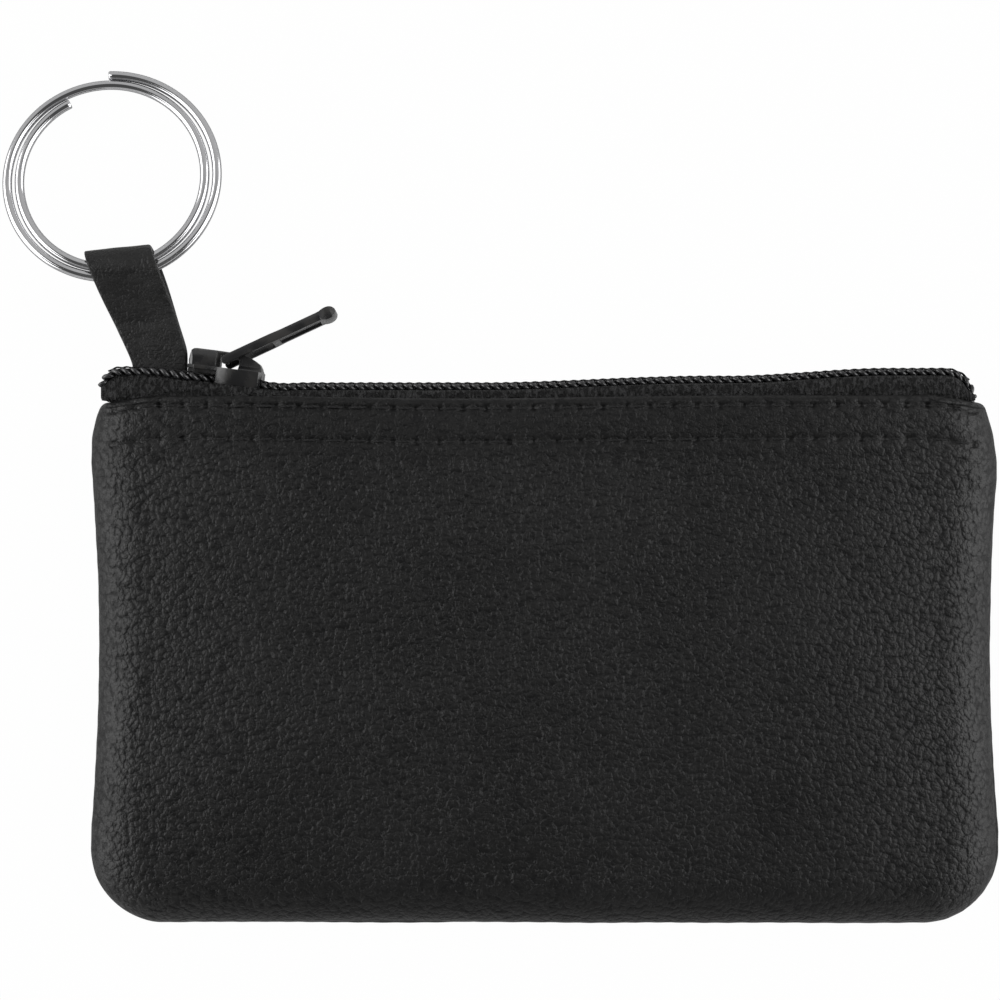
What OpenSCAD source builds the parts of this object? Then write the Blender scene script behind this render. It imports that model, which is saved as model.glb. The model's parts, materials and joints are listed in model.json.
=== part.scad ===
// A small leather zip purse with a key ring on a strap, lying on its back.
// X runs along the zip, Y from the bottom fold up to the zip, Z out of the front panel.
// All sizes are in millimetres. The origin is the middle of the face it rests on.

/* [Leather body] */
// Widest width of the body
body_w = 110; // [90:1:140]
// Height of the body, from its bottom fold to its hemmed edge
body_h = 63.8; // [52:0.2:80]
// How far each side draws in half-way up
waist = 0.9; // [0:0.1:2]
// How far each top corner draws in at the end of the zip
shoulder = 1.5; // [0:0.1:2.5]
// Radius of the two bottom corners
corner_r = 9; // [7.5:0.5:13]
// Height of the side seams above the face the purse rests on
back_depth = 5.5; // [4.6:0.1:7]
// Height of the front panel above the side seams, at the hem
front_depth = 5; // [4.4:0.1:7]
// How much further the front panel bulges in its middle
front_crown = 1.5; // [0:0.1:4]
// Width of the rolled edge beside the seams
roll_w = 7; // [5.5:0.1:7.4]

/* [Hem and mouth] */
// How far the hemmed edge dips in the middle of the mouth
mouth_dip = 0.4; // [0:0.1:1.5]
// How far the hemmed edge drops at each end of the zip
mouth_end_drop = 0.8; // [0:0.1:1.5]
// Depth of the turned hem
hem_w = 7; // [6:0.1:10]
// Thickness of the pared leather that the hem turns in
hem_t = 0.5; // [0.3:0.05:0.8]
// How far the back hem stands clear of the surface
hem_lift = 0.55; // [0.45:0.05:1]

/* [Skins] */
// Thickness of the leather
leather_t = 0.9; // [0.7:0.05:1.2]
// Thickness of the lining cloth
lining_t = 0.3; // [0.2:0.05:0.5]
// Width of the seam allowance turned inside
allowance_w = 4; // [3:0.1:4.6]
// Share of the allowance that is trimmed away beside the mouth
mouth_trim = 0.55; // [0.5:0.05:0.7]
// Gap between the two halves along the seam
seam_gap = 0.16; // [0.1:0.02:0.3]
// Clearance between two skins that lie on each other
skin_gap = 0.1; // [0.05:0.01:0.15]

/* [Stitching] */
// Thickness of the sewing thread
thread_d = 0.4; // [0.25:0.05:0.5]
// Distance from one stitch to the next
stitch_pitch = 2.8; // [2.2:0.1:4]
// Length of thread that shows between two holes
stitch_l = 1.9; // [1.2:0.1:2.1]
// Upper stitch row, below the hemmed edge
upper_row = 1.2; // [0.8:0.1:2]
// Lower stitch row, below the hemmed edge
lower_row = 5.2; // [4:0.1:6]

/* [Zip chain] */
// Distance from each end of the chain to the widest part of the body
chain_inset = 2.6; // [2.4:0.1:4]
// Distance from each end of the tapes to the widest part of the body
tape_inset = 4.3; // [4.1:0.1:5]
// Height of the chain above the hemmed edge, in the closed zip
zip_rise = 1.1; // [1:0.1:1.8]
// How much higher the chain stands where it is open, beside the strap
open_rise = 1.85; // [1.4:0.05:2]
// How much higher the chain stands at its closed end
closed_rise = 1.75; // [1.2:0.05:2]
// How far the chain curls down at its open end
open_curl = 1.1; // [0.8:0.1:1.4]
// How far the chain curls down at its closed end
closed_curl = 2; // [1.5:0.1:2.2]
// Length over which the ends of the chain curl down
curl_l = 3.4; // [3:0.1:4]
// Distance from one turn of the coil to the next
coil_pitch = 1.17; // [1:0.01:1.5]
// Thickness of the coil's filament
coil_wire = 0.36; // [0.3:0.02:0.36]
// Height of a coil
coil_h = 1.05; // [0.95:0.05:1.3]
// Width of one coil
coil_w = 2.35; // [2:0.05:2.6]
// How far the two coils mesh
coil_mesh = 0.5; // [0.3:0.05:0.7]
// Slant of the turns
coil_slant = 22; // [0:1:25]
// Thickness of the cord inside each coil
core_d = 0.16; // [0.12:0.01:0.18]
// Thickness of the woven tape
tape_t = 0.4; // [0.3:0.05:0.5]
// How far each coil parts from the middle where the zip is open
coil_parting = 1.9; // [1.6:0.1:2.2]

/* [Slider] */
// Distance from the middle of the slider to the side of the body
slider_inset = 16.2; // [16.2:0.1:19]
// How far the slider stands above the closed chain
slider_rise = 0.75; // [0.6:0.05:0.8]
// Length of the slider's plates
slider_l = 9.1; // [8.5:0.1:9.2]
// How far the slider's nose tips up
slider_tilt = 7; // [4:0.5:8]
// Thickness of the upper plate
plate_t = 0.9; // [0.7:0.05:1.1]
// Thickness of the upper plate along its nose
lip_t = 0.45; // [0.35:0.05:0.6]
// Thickness of the lower plate
lower_plate_t = 0.6; // [0.5:0.05:0.8]
// Thickness of the flanges along the upper plate
flange_t = 0.45; // [0.35:0.05:0.5]
// Clearance round the chain inside the slider
chain_gap = 0.12; // [0.1:0.01:0.2]
// Width of the crown's arch that the pull hangs from
crown_w = 2.5; // [2:0.1:2.7]
// Width of the crown's front block
crown_block_w = 4; // [3:0.1:4.4]
// Height of the crown above the upper plate
crown_h = 2.05; // [2:0.05:2.4]
// Thickness of the crown's bridge
bridge_t = 0.45; // [0.35:0.05:0.5]
// Thickness of the lock spring's leaf
spring_t = 0.15; // [0.1:0.01:0.18]
// Width of the lock spring's leaf
spring_w = 0.9; // [0.7:0.05:1.1]

/* [Pull] */
// Length of the pull, from its axis to its tip
pull_l = 14.8; // [12:0.1:16]
// Thickness of the pull's stem
pull_t = 1.05; // [0.8:0.05:1.1]
// Width of the pull at its eye
pull_w = 4; // [3.8:0.1:4.4]
// Thickness of the flared tip
pull_tip_t = 2; // [1.4:0.1:2.6]
// Length of the flared tip
pull_tip_l = 2.4; // [1.6:0.1:3]
// Diameter of the bar that the pull turns on
pull_bar_d = 0.5; // [0.4:0.05:0.6]
// Length of the window in the pull
pull_window_l = 6; // [5.4:0.1:7]
// Clearance between the window's sides and the crown
pull_gap = 0.25; // [0.2:0.05:0.35]
// Height of the pull's eye above the upper plate
pull_lift = 0.33; // [0.33:0.01:0.4]
// Angle of the pull above the zip, as it lies
pull_angle = 25; // [20:1:60]
// How far the pull leans over about its own length
pull_roll = 8; // [0:1:8]

/* [Key strap and ring] */
// Distance from the middle of the strap to the side of the body
strap_inset = 7.8; // [7.6:0.1:8]
// Width of the strap
strap_w = 6.8; // [6:0.1:7]
// Thickness of the strap's leather
strap_t = 0.85; // [0.6:0.05:0.9]
// Distance from the mouth up to the axis of the ring's loop
strap_l = 14.4; // [13:0.1:20]
// How far the strap leans to the left at its loop
strap_lean = 4.4; // [3:0.1:5]
// Slope of the loop, across the strap
loop_slope = 5.5; // [0:0.5:8]
// Outer diameter of the split ring
ring_od = 26.3; // [22:0.1:32]
// Thickness of the ring's wire
ring_wire = 1.15; // [0.9:0.05:1.3]
// Clearance round the ring inside the loop
loop_gap = 0.15; // [0.1:0.05:0.4]

/* [Hidden] */
$fn = 32;

FRONT = 1;
BACK = -1;

// The seams and the zip's middle lie in one plane
seam_z = back_depth;
top_y = body_h / 2;
bottom_y = -body_h / 2;
half_gap = seam_gap / 2;
roll = min(roll_w, corner_r - 0.5);
corner_y = bottom_y + corner_r;
corner_x = body_w / 2 - corner_r;

// Rows and stations of the lofted skins
side_steps = 9;
corner_steps = 6;
bottom_steps = 12;
stations = 2 * side_steps + 2 * corner_steps + bottom_steps;
roll_angles = [12, 26, 42, 58, 74, 90];
tape_steps = 34;

function lerp(a, b, t) = a + (b - a) * t;
function ease(t) = let (u = min(1, max(0, t))) u * u * (3 - 2 * u);
function ramp(v, from, to) = ease((v - from) / (to - from));
function rise(d, w, h) = d >= w ? h : h * sqrt(max(0, 1 - pow((w - d) / w, 2)));

// ---- the outline of the body and its mouth ----

function half_width(y) = body_w / 2
    - waist * max(0, 1 - pow((y - 1.5) / 22, 2))
    - shoulder * pow(ramp(y, top_y - 8, top_y + 2), 2) / pow(ease(0.8), 2);

function edge_y(x) = top_y
    - mouth_dip * exp(-pow((x + 10) / 20, 2))
    - mouth_end_drop * ramp(abs(x), body_w / 2 - 9, body_w / 2 - 1.5);

// Each station is a point of the U-shaped seam with its inward direction
function side_y(i) = let (hem = [edge_y(body_w / 2 - 2), top_y - 3, top_y - hem_w + 0.5, top_y - hem_w - 1])
    i < 4 ? hem[i] : lerp(hem[3], corner_y, (i - 3) / (side_steps - 3));
function side_station(i) = let (y = side_y(i)) [[-half_width(y), y], [1, 0]];
function corner_station(t) = let (a = 180 + 90 * t)
    [[-corner_x + corner_r * cos(a), corner_y + corner_r * sin(a)], [-cos(a), -sin(a)]];
function left_station(i) = i <= side_steps ? side_station(i)
    : corner_station((i - side_steps) / corner_steps);
function mirrored(s) = [[-s[0][0], s[0][1]], [-s[1][0], s[1][1]]];
function station(i) = let (last = side_steps + corner_steps, from_right = stations - i)
    i <= last ? left_station(i)
    : from_right <= last ? mirrored(left_station(from_right))
    : [[lerp(-corner_x, corner_x, (i - last) / bottom_steps), bottom_y], [0, 1]];

// Where the ray of a station meets the hemmed edge
function hem_x(i) = let (s = i / stations, reach = half_width(top_y) - roll - 2)
    -reach * cos(180 * lerp(s, ease(s), 0.15));

// ---- the height of a half of the body ----

function depth_of(side) = side == FRONT ? front_depth : seam_z - half_gap;
function bulge(x, y) = let (
        low = bottom_y + roll, peak = -5, high = top_y + 8,
        v = y < peak ? (peak - y) / (peak - low) : (y - peak) / (high - peak),
        u = x / (body_w / 2 - roll))
    max(0, 1 - pow(u, 4)) * max(0, 1 - v * v);
function at_hem(y) = ramp(y, top_y - hem_w - 2.5, top_y - hem_w + 0.5);
function outer_h(side, x, y) = depth_of(side)
    + (side == FRONT ? front_crown * bulge(x, y) : lerp(0.25 * bulge(x, y), -hem_lift, at_hem(y)));
function inner_h(side, x, y) = depth_of(side)
    + (side == FRONT ? front_crown * bulge(x, y) : -hem_lift * at_hem(y))
    - leather_t - hem_t * ramp(y, top_y - hem_w - 1, top_y - hem_w + 0.5);
function level(side, h) = seam_z + side * (half_gap + h);
function seam_point(side, s, d, h) = [s[0][0] + s[1][0] * d, s[0][1] + s[1][1] * d, level(side, h)];

// Height of the outer face anywhere, from the distance to the side of the body
function face_h(side, x, y) = let (d = half_width(y) - abs(x))
    d >= roll ? outer_h(side, x, y)
    : rise(d, roll, outer_h(side, sign(x) * (half_width(y) - roll), y));
function inside_h(side, x, y) = let (d = half_width(y) - abs(x))
    rise(d - leather_t, roll - leather_t, inner_h(side, x, y));

// Rows from the rolled edge to the hem: three on the face, two at the turn, one under the edge
function row_share(k, base_y, tip_y) = let (
        turn = max(0.2, (top_y - hem_w - 1 - base_y) / (tip_y - base_y)),
        turned = max(0.4, (top_y - hem_w + 0.5 - base_y) / (tip_y - base_y)))
    k < 4 ? turn * k / 4 : k == 4 ? turn : k == 5 ? turned : 1;
function face_xy(s, i, k, drop) = let (
        base = s[0] + s[1] * roll, x = hem_x(i), tip = [x, edge_y(x) - drop])
    lerp(base, tip, row_share(k, base[1], tip[1]));

// ---- skins: a closed solid between two grids of points ----

function grid_faces(rows, cols, start, turn) = [
    for (r = [0 : rows - 2], c = [0 : cols - 2])
        let (a = start + r * cols + c, b = a + 1, d = a + cols, e = d + 1)
        each (turn ? [[a, d, e], [a, e, b]] : [[a, e, d], [a, b, e]])];
function rim(a, b, n, turn) = [for (i = [0 : len(a) - 2])
    each (turn ? [[a[i], a[i + 1], b[i + 1]], [a[i], b[i + 1], b[i]]]
        : [[a[i], b[i + 1], a[i + 1]], [a[i], b[i], b[i + 1]]])];

module skin(outer, inner, flip = false) {
    rows = len(outer);
    cols = len(outer[0]);
    n = rows * cols;
    first = [for (c = [0 : cols - 1]) c];
    last = [for (c = [0 : cols - 1]) (rows - 1) * cols + c];
    start = [for (r = [0 : rows - 1]) r * cols];
    end = [for (r = [0 : rows - 1]) r * cols + cols - 1];
    function under(row) = [for (i = row) i + n];
    polyhedron(
        points = [for (row = outer) each row, for (row = inner) each row],
        faces = concat(
            grid_faces(rows, cols, 0, flip), grid_faces(rows, cols, n, !flip),
            rim(first, under(first), n, flip), rim(last, under(last), n, !flip),
            rim(start, under(start), n, !flip), rim(end, under(end), n, flip)));
}

// ---- leather panels ----

function allowance(y) = allowance_w * (1 - mouth_trim * ramp(y, top_y - 18, top_y - 9));

function panel_outer(side, i) = let (s = station(i))
    [seam_point(side, s, allowance(s[0][1]), 0), seam_point(side, s, 0.5, 0),
    for (a = roll_angles) let (base = s[0] + s[1] * roll)
        seam_point(side, s, roll * (1 - cos(a)), outer_h(side, base[0], base[1]) * sin(a)),
    for (k = [1 : 6]) let (p = face_xy(s, i, k, 0.25))
        [p[0], p[1], level(side, outer_h(side, p[0], p[1]))],
    let (p = face_xy(s, i, 6, 0), h = outer_h(side, p[0], p[1]))
        [p[0], p[1], level(side, h - 0.3 * (leather_t + hem_t))]];

function panel_inner(side, i) = let (s = station(i), w = roll - leather_t,
        base = s[0] + s[1] * roll, h = inner_h(side, base[0], base[1]),
        a0 = asin(leather_t / h))
    [seam_point(side, s, allowance(s[0][1]), leather_t),
    seam_point(side, s, roll - w * cos(a0) + 0.25, leather_t),
    for (j = [0 : 5]) let (a = lerp(a0 + 5, 90, j / 5))
        seam_point(side, s, roll - w * cos(a), h * sin(a)),
    for (k = [1 : 6]) let (p = face_xy(s, i, k, 0.25))
        [p[0], p[1], level(side, inner_h(side, p[0], p[1]))],
    let (p = face_xy(s, i, 6, 0), hi = inner_h(side, p[0], p[1]))
        [p[0], p[1], level(side, hi + 0.3 * (leather_t + hem_t))]];

module leather_panel(side) {
    skin([for (i = [0 : stations]) panel_outer(side, i)],
        [for (i = [0 : stations]) panel_inner(side, i)], side == BACK);
}

module back_panel() {
    color([0.13, 0.13, 0.13])
    difference() {
        leather_panel(BACK);
        // the bulge that the purse's weight presses flat
        translate([-body_w / 2, -body_h / 2, -2])
            cube([body_w, body_h, 2]);
    }
}

module front_panel() {
    color([0.15, 0.15, 0.15])
    leather_panel(FRONT);
}

// ---- linings: a bag between the seam allowances, sewn over the tapes at the hem ----

lining_drop = lower_row - 2.6;

function lining_start(y) = allowance(y) + 0.25;

function lining_h(side, x, y) = inner_h(side, x, y) - skin_gap
    - (tape_t + skin_gap) * ramp(y, top_y - hem_w - 1, top_y - hem_w + 0.5);
function lining_row(side, i, t) = let (s = station(i), w = roll - lining_start(s[0][1]) - t,
        base = s[0] + s[1] * roll, h = lining_h(side, base[0], base[1]) - t)
    [for (a = [0, 25, 50, 75, 90])
        seam_point(side, s, roll - w * cos(a), h * sin(a)),
    for (k = [1 : 6]) let (p = face_xy(s, i, k, lining_drop))
        [p[0], p[1], level(side, lining_h(side, p[0], p[1]) - t)]];

// Height of the lining's inner face, near the hem
function lining_face_h(side, x, y) = let (start = lining_start(y) + lining_t)
    rise(half_width(y) - abs(x) - start, roll - start, lining_h(side, x, y) - lining_t);

module lining(side) {
    skin([for (i = [0 : stations]) lining_row(side, i, 0)],
        [for (i = [0 : stations]) lining_row(side, i, lining_t)], side == BACK);
}

module back_lining() {
    color([0.09, 0.09, 0.1])
    lining(BACK);
}

module front_lining() {
    color([0.09, 0.09, 0.1])
    lining(FRONT);
}

// ---- the path of the zip ----

zip_y = top_y + zip_rise;
slider_x = slider_inset - body_w / 2;
slider_y = zip_y + slider_rise;
slider_half = slider_l / 2;
chain_half = coil_w - coil_mesh / 2;
coil_seat = 0.1;
tape_drop = coil_h / 2 + coil_seat + tape_t / 2;
zip_end = body_w / 2 - chain_inset;

function on_slider(x) = slider_y - (x - slider_x) * tan(slider_tilt);
function free_y(x) = x < slider_x
    ? zip_y + open_rise
    : zip_y + closed_rise * lerp(
        ramp(x, -0.07 * body_w, 0.18 * body_w), ramp(x, 0.2 * body_w, 0.38 * body_w), 0.54);
function curl(x) = open_curl * ramp(-x, zip_end - curl_l, zip_end)
    + closed_curl * ramp(x, zip_end - curl_l, zip_end);
function chain_y(x) = let (away = abs(x - slider_x) - slider_half - 0.4)
    lerp(on_slider(x), free_y(x), ramp(away, 0, 5)) - curl(x);
function parting(x) = coil_parting * ramp(slider_x + 0.8 - x, 0, slider_half + 0.8)
    * (1 - 0.5 * ramp(-x, zip_end - curl_l, zip_end));
function chain_fall(x) = (chain_y(x + 0.1) - chain_y(x - 0.1)) / 0.2;
function chain_slope(x) = max(-12, atan(chain_fall(x)));

turns = floor(2 * (zip_end - 0.8) / coil_pitch);

// One turn of the coil, with its head towards the other coil
module coil_turn() {
    rotate([0, 90, 0])
    linear_extrude(coil_wire, center = true)
    difference() {
        stadium(coil_w, coil_h);
        stadium(coil_w - 2 * coil_wire, coil_h - 2 * coil_wire);
    }
}

module stadium(w, h) {
    square([w - h, h], center = true);
    for (side = [-1, 1])
        translate([side * (w - h) / 2, 0]) circle(d = h);
}

module zip_coil(side) {
    for (i = [0 : turns - 1]) {
        x = (i - turns / 2 + (side == FRONT ? 0 : 0.5)) * coil_pitch;
        translate([x, chain_y(x), seam_z + side * (coil_w / 2 - coil_mesh / 2 + parting(x))])
            rotate([0, 0, chain_slope(x) - coil_slant])
            coil_turn();
    }
}

module back_zip_coil() {
    color([0.06, 0.06, 0.06])
    zip_coil(BACK);
}

module front_zip_coil() {
    color([0.06, 0.06, 0.06])
    zip_coil(FRONT);
}

// A round bar along a path of points, as rings of six corners
module swept_bar(path, d, sides = 6) {
    n = len(path);
    rings = [for (i = [0 : n - 1]) let (
            ahead = path[min(i + 1, n - 1)] - path[max(i - 1, 0)],
            dir = ahead / norm(ahead),
            across = cross([0, 0, 1], dir),
            u = norm(across) > 0.01 ? across / norm(across) : [1, 0, 0],
            v = cross(dir, u))
        for (k = [0 : sides - 1])
            path[i] + d / 2 * (cos(360 * k / sides) * u + sin(360 * k / sides) * v)];
    polyhedron(points = rings, faces = concat(
        [[for (k = [0 : sides - 1]) k]],
        [[for (k = [sides - 1 : -1 : 0]) (n - 1) * sides + k]],
        [for (i = [0 : n - 2], k = [0 : sides - 1])
            let (a = i * sides + k, b = i * sides + (k + 1) % sides)
            each [[a, b + sides, b], [a, a + sides, b + sides]]]));
}

module coil_core(side) {
    steps = 60;
    swept_bar([for (i = [0 : steps]) let (x = lerp(-zip_end + 1, zip_end - 1, i / steps))
        [x, chain_y(x), seam_z + side * (coil_w / 2 - coil_mesh / 2 + parting(x))]], core_d);
}

module back_coil_core() {
    color([0.1, 0.1, 0.1])
    coil_core(BACK);
}

module front_coil_core() {
    color([0.1, 0.1, 0.1])
    coil_core(FRONT);
}

// ---- zip tapes: sewn flat inside the hem, then folded over the mouth to the coil ----

tape_end = body_w / 2 - tape_inset;

function tape_line(side, x) = let (
        y = edge_y(x), low = top_y - hem_w + 1,
        wall = [for (at = [low, y - 3, y - 0.4]) inside_h(side, x, at) - skin_gap - tape_t / 2],
        under = chain_y(x) - tape_drop * norm([1, chain_fall(x)]),
        heel = chain_half + parting(x) - half_gap,
        turn = max(wall[2], heel) - 0.43)
    [[wall[0], low], [wall[1], y - 3], [wall[2], y - 0.4], [wall[2], lerp(y - 0.4, under, 0.4)],
    [lerp(turn, wall[2], 0.8), lerp(y - 0.4, under, 0.8)],
    [turn, under], [(turn + parting(x)) / 2, under],
    [parting(x) + 0.25, under]];
function tape_point(side, x, k, off) = let (
        line = tape_line(side, x), last = len(line) - 1,
        ahead = line[min(k + 1, last)] - line[max(k - 1, 0)],
        normal = [-ahead[1], ahead[0]] / norm(ahead),
        p = line[k] + off * normal)
    [x, p[1], level(side, p[0])];
// The tape's columns lie closer at its ends, where it follows the rolled edges
function tape_x(i) = -tape_end * lerp(1 - 2 * i / tape_steps, cos(180 * i / tape_steps), 0.55);
function tape_row(side, i, off) = let (x = tape_x(i))
    [for (k = [0 : 7]) tape_point(side, x, k, off)];

module zip_tape(side) {
    skin([for (i = [0 : tape_steps]) tape_row(side, i, -tape_t / 2)],
        [for (i = [0 : tape_steps]) tape_row(side, i, tape_t / 2)], side == BACK);
}

module back_zip_tape() {
    color([0.08, 0.08, 0.08])
    zip_tape(BACK);
}

module front_zip_tape() {
    color([0.08, 0.08, 0.08])
    zip_tape(FRONT);
}

// ---- stitching ----

module stitch(l) {
    rotate([0, 90, 0]) cylinder(d = thread_d, h = l - thread_d, center = true);
    for (side = [-1, 1])
        translate([side * (l - thread_d) / 2, 0, 0]) sphere(d = thread_d);
}

module hem_row(side, below) {
    reach = half_width(top_y) - 2.2;
    count = floor(2 * reach / stitch_pitch);
    for (i = [0 : count]) {
        x = (i - count / 2) * stitch_pitch;
        y = edge_y(x) - below;
        slope = (face_h(side, x + 0.5, y) - face_h(side, x - 0.5, y));
        lean = atan(slope);
        lift = face_h(side, x, y) + (thread_d / 2 + 0.05) * cos(lean);
        translate([x - (thread_d / 2 + 0.05) * sin(lean), y, level(side, lift)])
            rotate([0, -side * lean, atan(edge_y(x + 0.5) - edge_y(x - 0.5))])
            stitch(stitch_l);
    }
}

module back_hem_stitches() {
    color([0.05, 0.05, 0.05]) {
        hem_row(BACK, upper_row);
        hem_row(BACK, lower_row);
    }
}

module front_hem_stitches() {
    color([0.05, 0.05, 0.05]) {
        hem_row(FRONT, upper_row);
        hem_row(FRONT, lower_row);
    }
}

// The seam that joins the two halves, inside the fold of the back allowance
seam_row = 2.6;

module seam_stitch(at, angle) {
    translate([at[0], at[1], level(BACK, leather_t + thread_d / 2 + 0.03)])
        rotate([0, 0, angle]) stitch(stitch_l);
}

module side_seam_stitches() {
    side_l = top_y - 18 - corner_y;
    side_count = floor(side_l / stitch_pitch);
    bottom_count = floor(2 * corner_x / stitch_pitch);
    bend_r = corner_r - seam_row;
    bend_count = max(2, round(bend_r * PI / 2 / stitch_pitch));
    color([0.05, 0.05, 0.05]) {
        for (side = [-1, 1], i = [0 : side_count - 1]) {
            y = corner_y + (i + 0.5) * stitch_pitch;
            seam_stitch([side * (half_width(y) - seam_row), y], 90);
        }
        for (i = [0 : bottom_count - 1])
            seam_stitch([(i - (bottom_count - 1) / 2) * stitch_pitch, bottom_y + seam_row], 0);
        for (side = [-1, 1], i = [0 : bend_count - 1]) {
            a = 90 * (i + 0.5) / bend_count;
            seam_stitch([side * (corner_x + bend_r * sin(a)), corner_y - bend_r * cos(a)], side * a);
        }
    }
}

// ---- slider: two plates joined by a diamond, a crown, a lock spring and the pull ----

// In the slider's own frame X runs along the zip from nose to tail, Y up and Z across
channel_top = coil_h / 2 + chain_gap;
channel_bottom = -(tape_drop + tape_t / 2 + 0.1);
flange_bottom = -(coil_h / 2 + coil_seat) + 0.15;
rear_half = chain_half + 0.15 + flange_t;
nose_half = rear_half + 0.55;
plate_top = channel_top + plate_t;
crown_top = plate_top + crown_h;
bridge_bottom = crown_top - bridge_t;
pivot_y = plate_top + pull_lift + pull_t / 2;
spring_y = bridge_bottom - 0.2 - spring_t;
pin_x = 2.1;

module on_zip() {
    translate([slider_x, slider_y, seam_z]) rotate([0, 0, -slider_tilt]) children();
}

// A slab between two heights, from an outline in X and Z
module slab(from_y, to_y) {
    translate([0, to_y, 0]) rotate([90, 0, 0]) linear_extrude(to_y - from_y) children();
}

module plate_outline(rear, nose) {
    l = slider_l / 2;
    polygon([[-l, -nose + 1.1], [-l + 0.9, -nose], [-0.9, -nose], [0.9, -rear], [l - 0.4, -rear],
        [l, -rear + 0.4], [l, rear - 0.4], [l - 0.4, rear], [0.9, rear], [-0.9, nose],
        [-l + 0.9, nose], [-l, nose - 1.1]]);
}

module flange_outline() {
    l = slider_l / 2;
    polygon([[-0.9, nose_half - flange_t], [0.9, rear_half - flange_t], [l - 0.1, rear_half - flange_t],
        [l - 0.4, rear_half], [0.9, rear_half], [-0.9, nose_half]]);
}

module slider_body() {
    l = slider_l / 2;
    color([0.09, 0.09, 0.09])
    on_zip()
    difference() {
        union() {
            slab(plate_top - lip_t, plate_top) plate_outline(rear_half, nose_half);
            slab(channel_top, plate_top - lip_t + 0.01) plate_outline(rear_half, nose_half - 1);
            slab(channel_bottom - lower_plate_t, channel_bottom) plate_outline(rear_half, rear_half);
            for (side = [0, 1])
                mirror([0, 0, side]) slab(flange_bottom, plate_top - lip_t + 0.01) flange_outline();
            slab(channel_bottom - 0.01, channel_top + 0.01)
                polygon([[-1.8, 0], [-3.3, 0.85], [-l + 0.15, 0.6], [-l + 0.15, -0.6], [-3.3, -0.85]]);
        }
        // way for the lock spring's pin
        translate([pin_x, plate_top + 1, 0]) rotate([90, 0, 0]) cylinder(d = spring_w + 0.4, h = plate_t + 2);
    }
}

// A bar along the slider, from half of its section as seen from the end: height and half width
module cast_bar(from_x, to_x, half) {
    translate([from_x, 0, 0]) rotate([90, 0, 90]) linear_extrude(to_x - from_x)
        polygon(concat(half, [for (i = [len(half) - 1:-1:0]) [half[i][0], -half[i][1]]]));
}

module slider_crown() {
    l = slider_l / 2;
    block = crown_block_w / 2;
    arch = crown_w / 2;
    block_end = -1.2;
    arch_end = 1.5;
    color([0.09, 0.09, 0.09])
    on_zip()
    difference() {
        intersection() {
            // side view: an upright nose, a level back and a sloping tail
            translate([0, 0, -nose_half]) linear_extrude(2 * nose_half)
            polygon([[-l + 0.1, plate_top], [-l + 0.02, plate_top + 0.4], [-l + 0.1, plate_top + 1.1],
                [-l + 0.25, crown_top - 0.3], [-l + 0.5, crown_top - 0.07], [-l + 0.85, crown_top],
                [block_end, crown_top], [0.5, crown_top - 0.04], [1.8, crown_top - 0.14],
                [2.7, crown_top - 0.36], [3.4, crown_top - 0.7], [l - 0.5, plate_top + 0.95],
                [l - 0.22, plate_top + 0.5], [l - 0.1, plate_top]]);
            // plan view: the nose's corners are rounded
            slab(plate_top, crown_top)
            polygon([[-l, -block + 0.6], [-l + 0.15, -block + 0.25], [-l + 0.5, -block],
                [-l + 0.5, -nose_half], [l, -nose_half], [l, nose_half], [-l + 0.5, nose_half],
                [-l + 0.5, block], [-l + 0.15, block - 0.25], [-l, block - 0.6]]);
            // end views of the block, the arch and the tail, which spreads over the plate
            union() {
                cast_bar(-l - 1, block_end, [[plate_top, block], [plate_top + 0.9, block - 0.04],
                    [crown_top - 0.45, block - 0.14], [crown_top - 0.2, block - 0.28],
                    [crown_top - 0.05, block - 0.5], [crown_top, block - 0.75]]);
                cast_bar(block_end - 0.1, arch_end + 0.1, [[plate_top, arch], [crown_top - 0.2, arch],
                    [crown_top, arch - 0.2]]);
                cast_bar(arch_end, l + 1, [[plate_top, rear_half - 0.45], [plate_top + 0.12, rear_half - 0.5],
                    [plate_top + 0.3, arch + 0.35], [plate_top + 0.55, arch], [crown_top - 0.2, arch],
                    [crown_top, arch - 0.2]]);
            }
        }
        // window that the pull's bar lies in
        translate([-0.75, plate_top - 1, -nose_half])
            cube([2.3, bridge_bottom - plate_top + 1, 2 * nose_half]);
        // chamber of the lock spring
        translate([-3.1, spring_y - 0.08, -spring_w / 2 - 0.1])
            cube([5.65, bridge_bottom - spring_y + 0.08, spring_w + 0.2]);
        translate([1.5, plate_top - 1, -spring_w / 2 - 0.1])
            cube([1.05, bridge_bottom - plate_top + 1, spring_w + 0.2]);
    }
}

module lock_spring() {
    foot = channel_top - 0.05;
    color([0.6, 0.6, 0.62])
    on_zip()
    translate([0, 0, -spring_w / 2])
    linear_extrude(spring_w)
    polygon([[-3.0, spring_y], [pin_x - 0.15, spring_y], [pin_x - 0.15, foot + 0.2], [pin_x, foot],
        [pin_x + 0.2, foot], [pin_x + 0.2, spring_y + spring_t], [-3.0, spring_y + spring_t]]);
}

// Half the thickness of the pull's tip, from its root at 0 to its round end at 1
function tip_half(u) = u < 0.5 ? lerp(pull_t, pull_tip_t, ease(u / 0.5)) / 2
    : pull_tip_t / 2 * sqrt(1 - 0.92 * pow((u - 0.5) / 0.5, 2.6));

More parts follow.
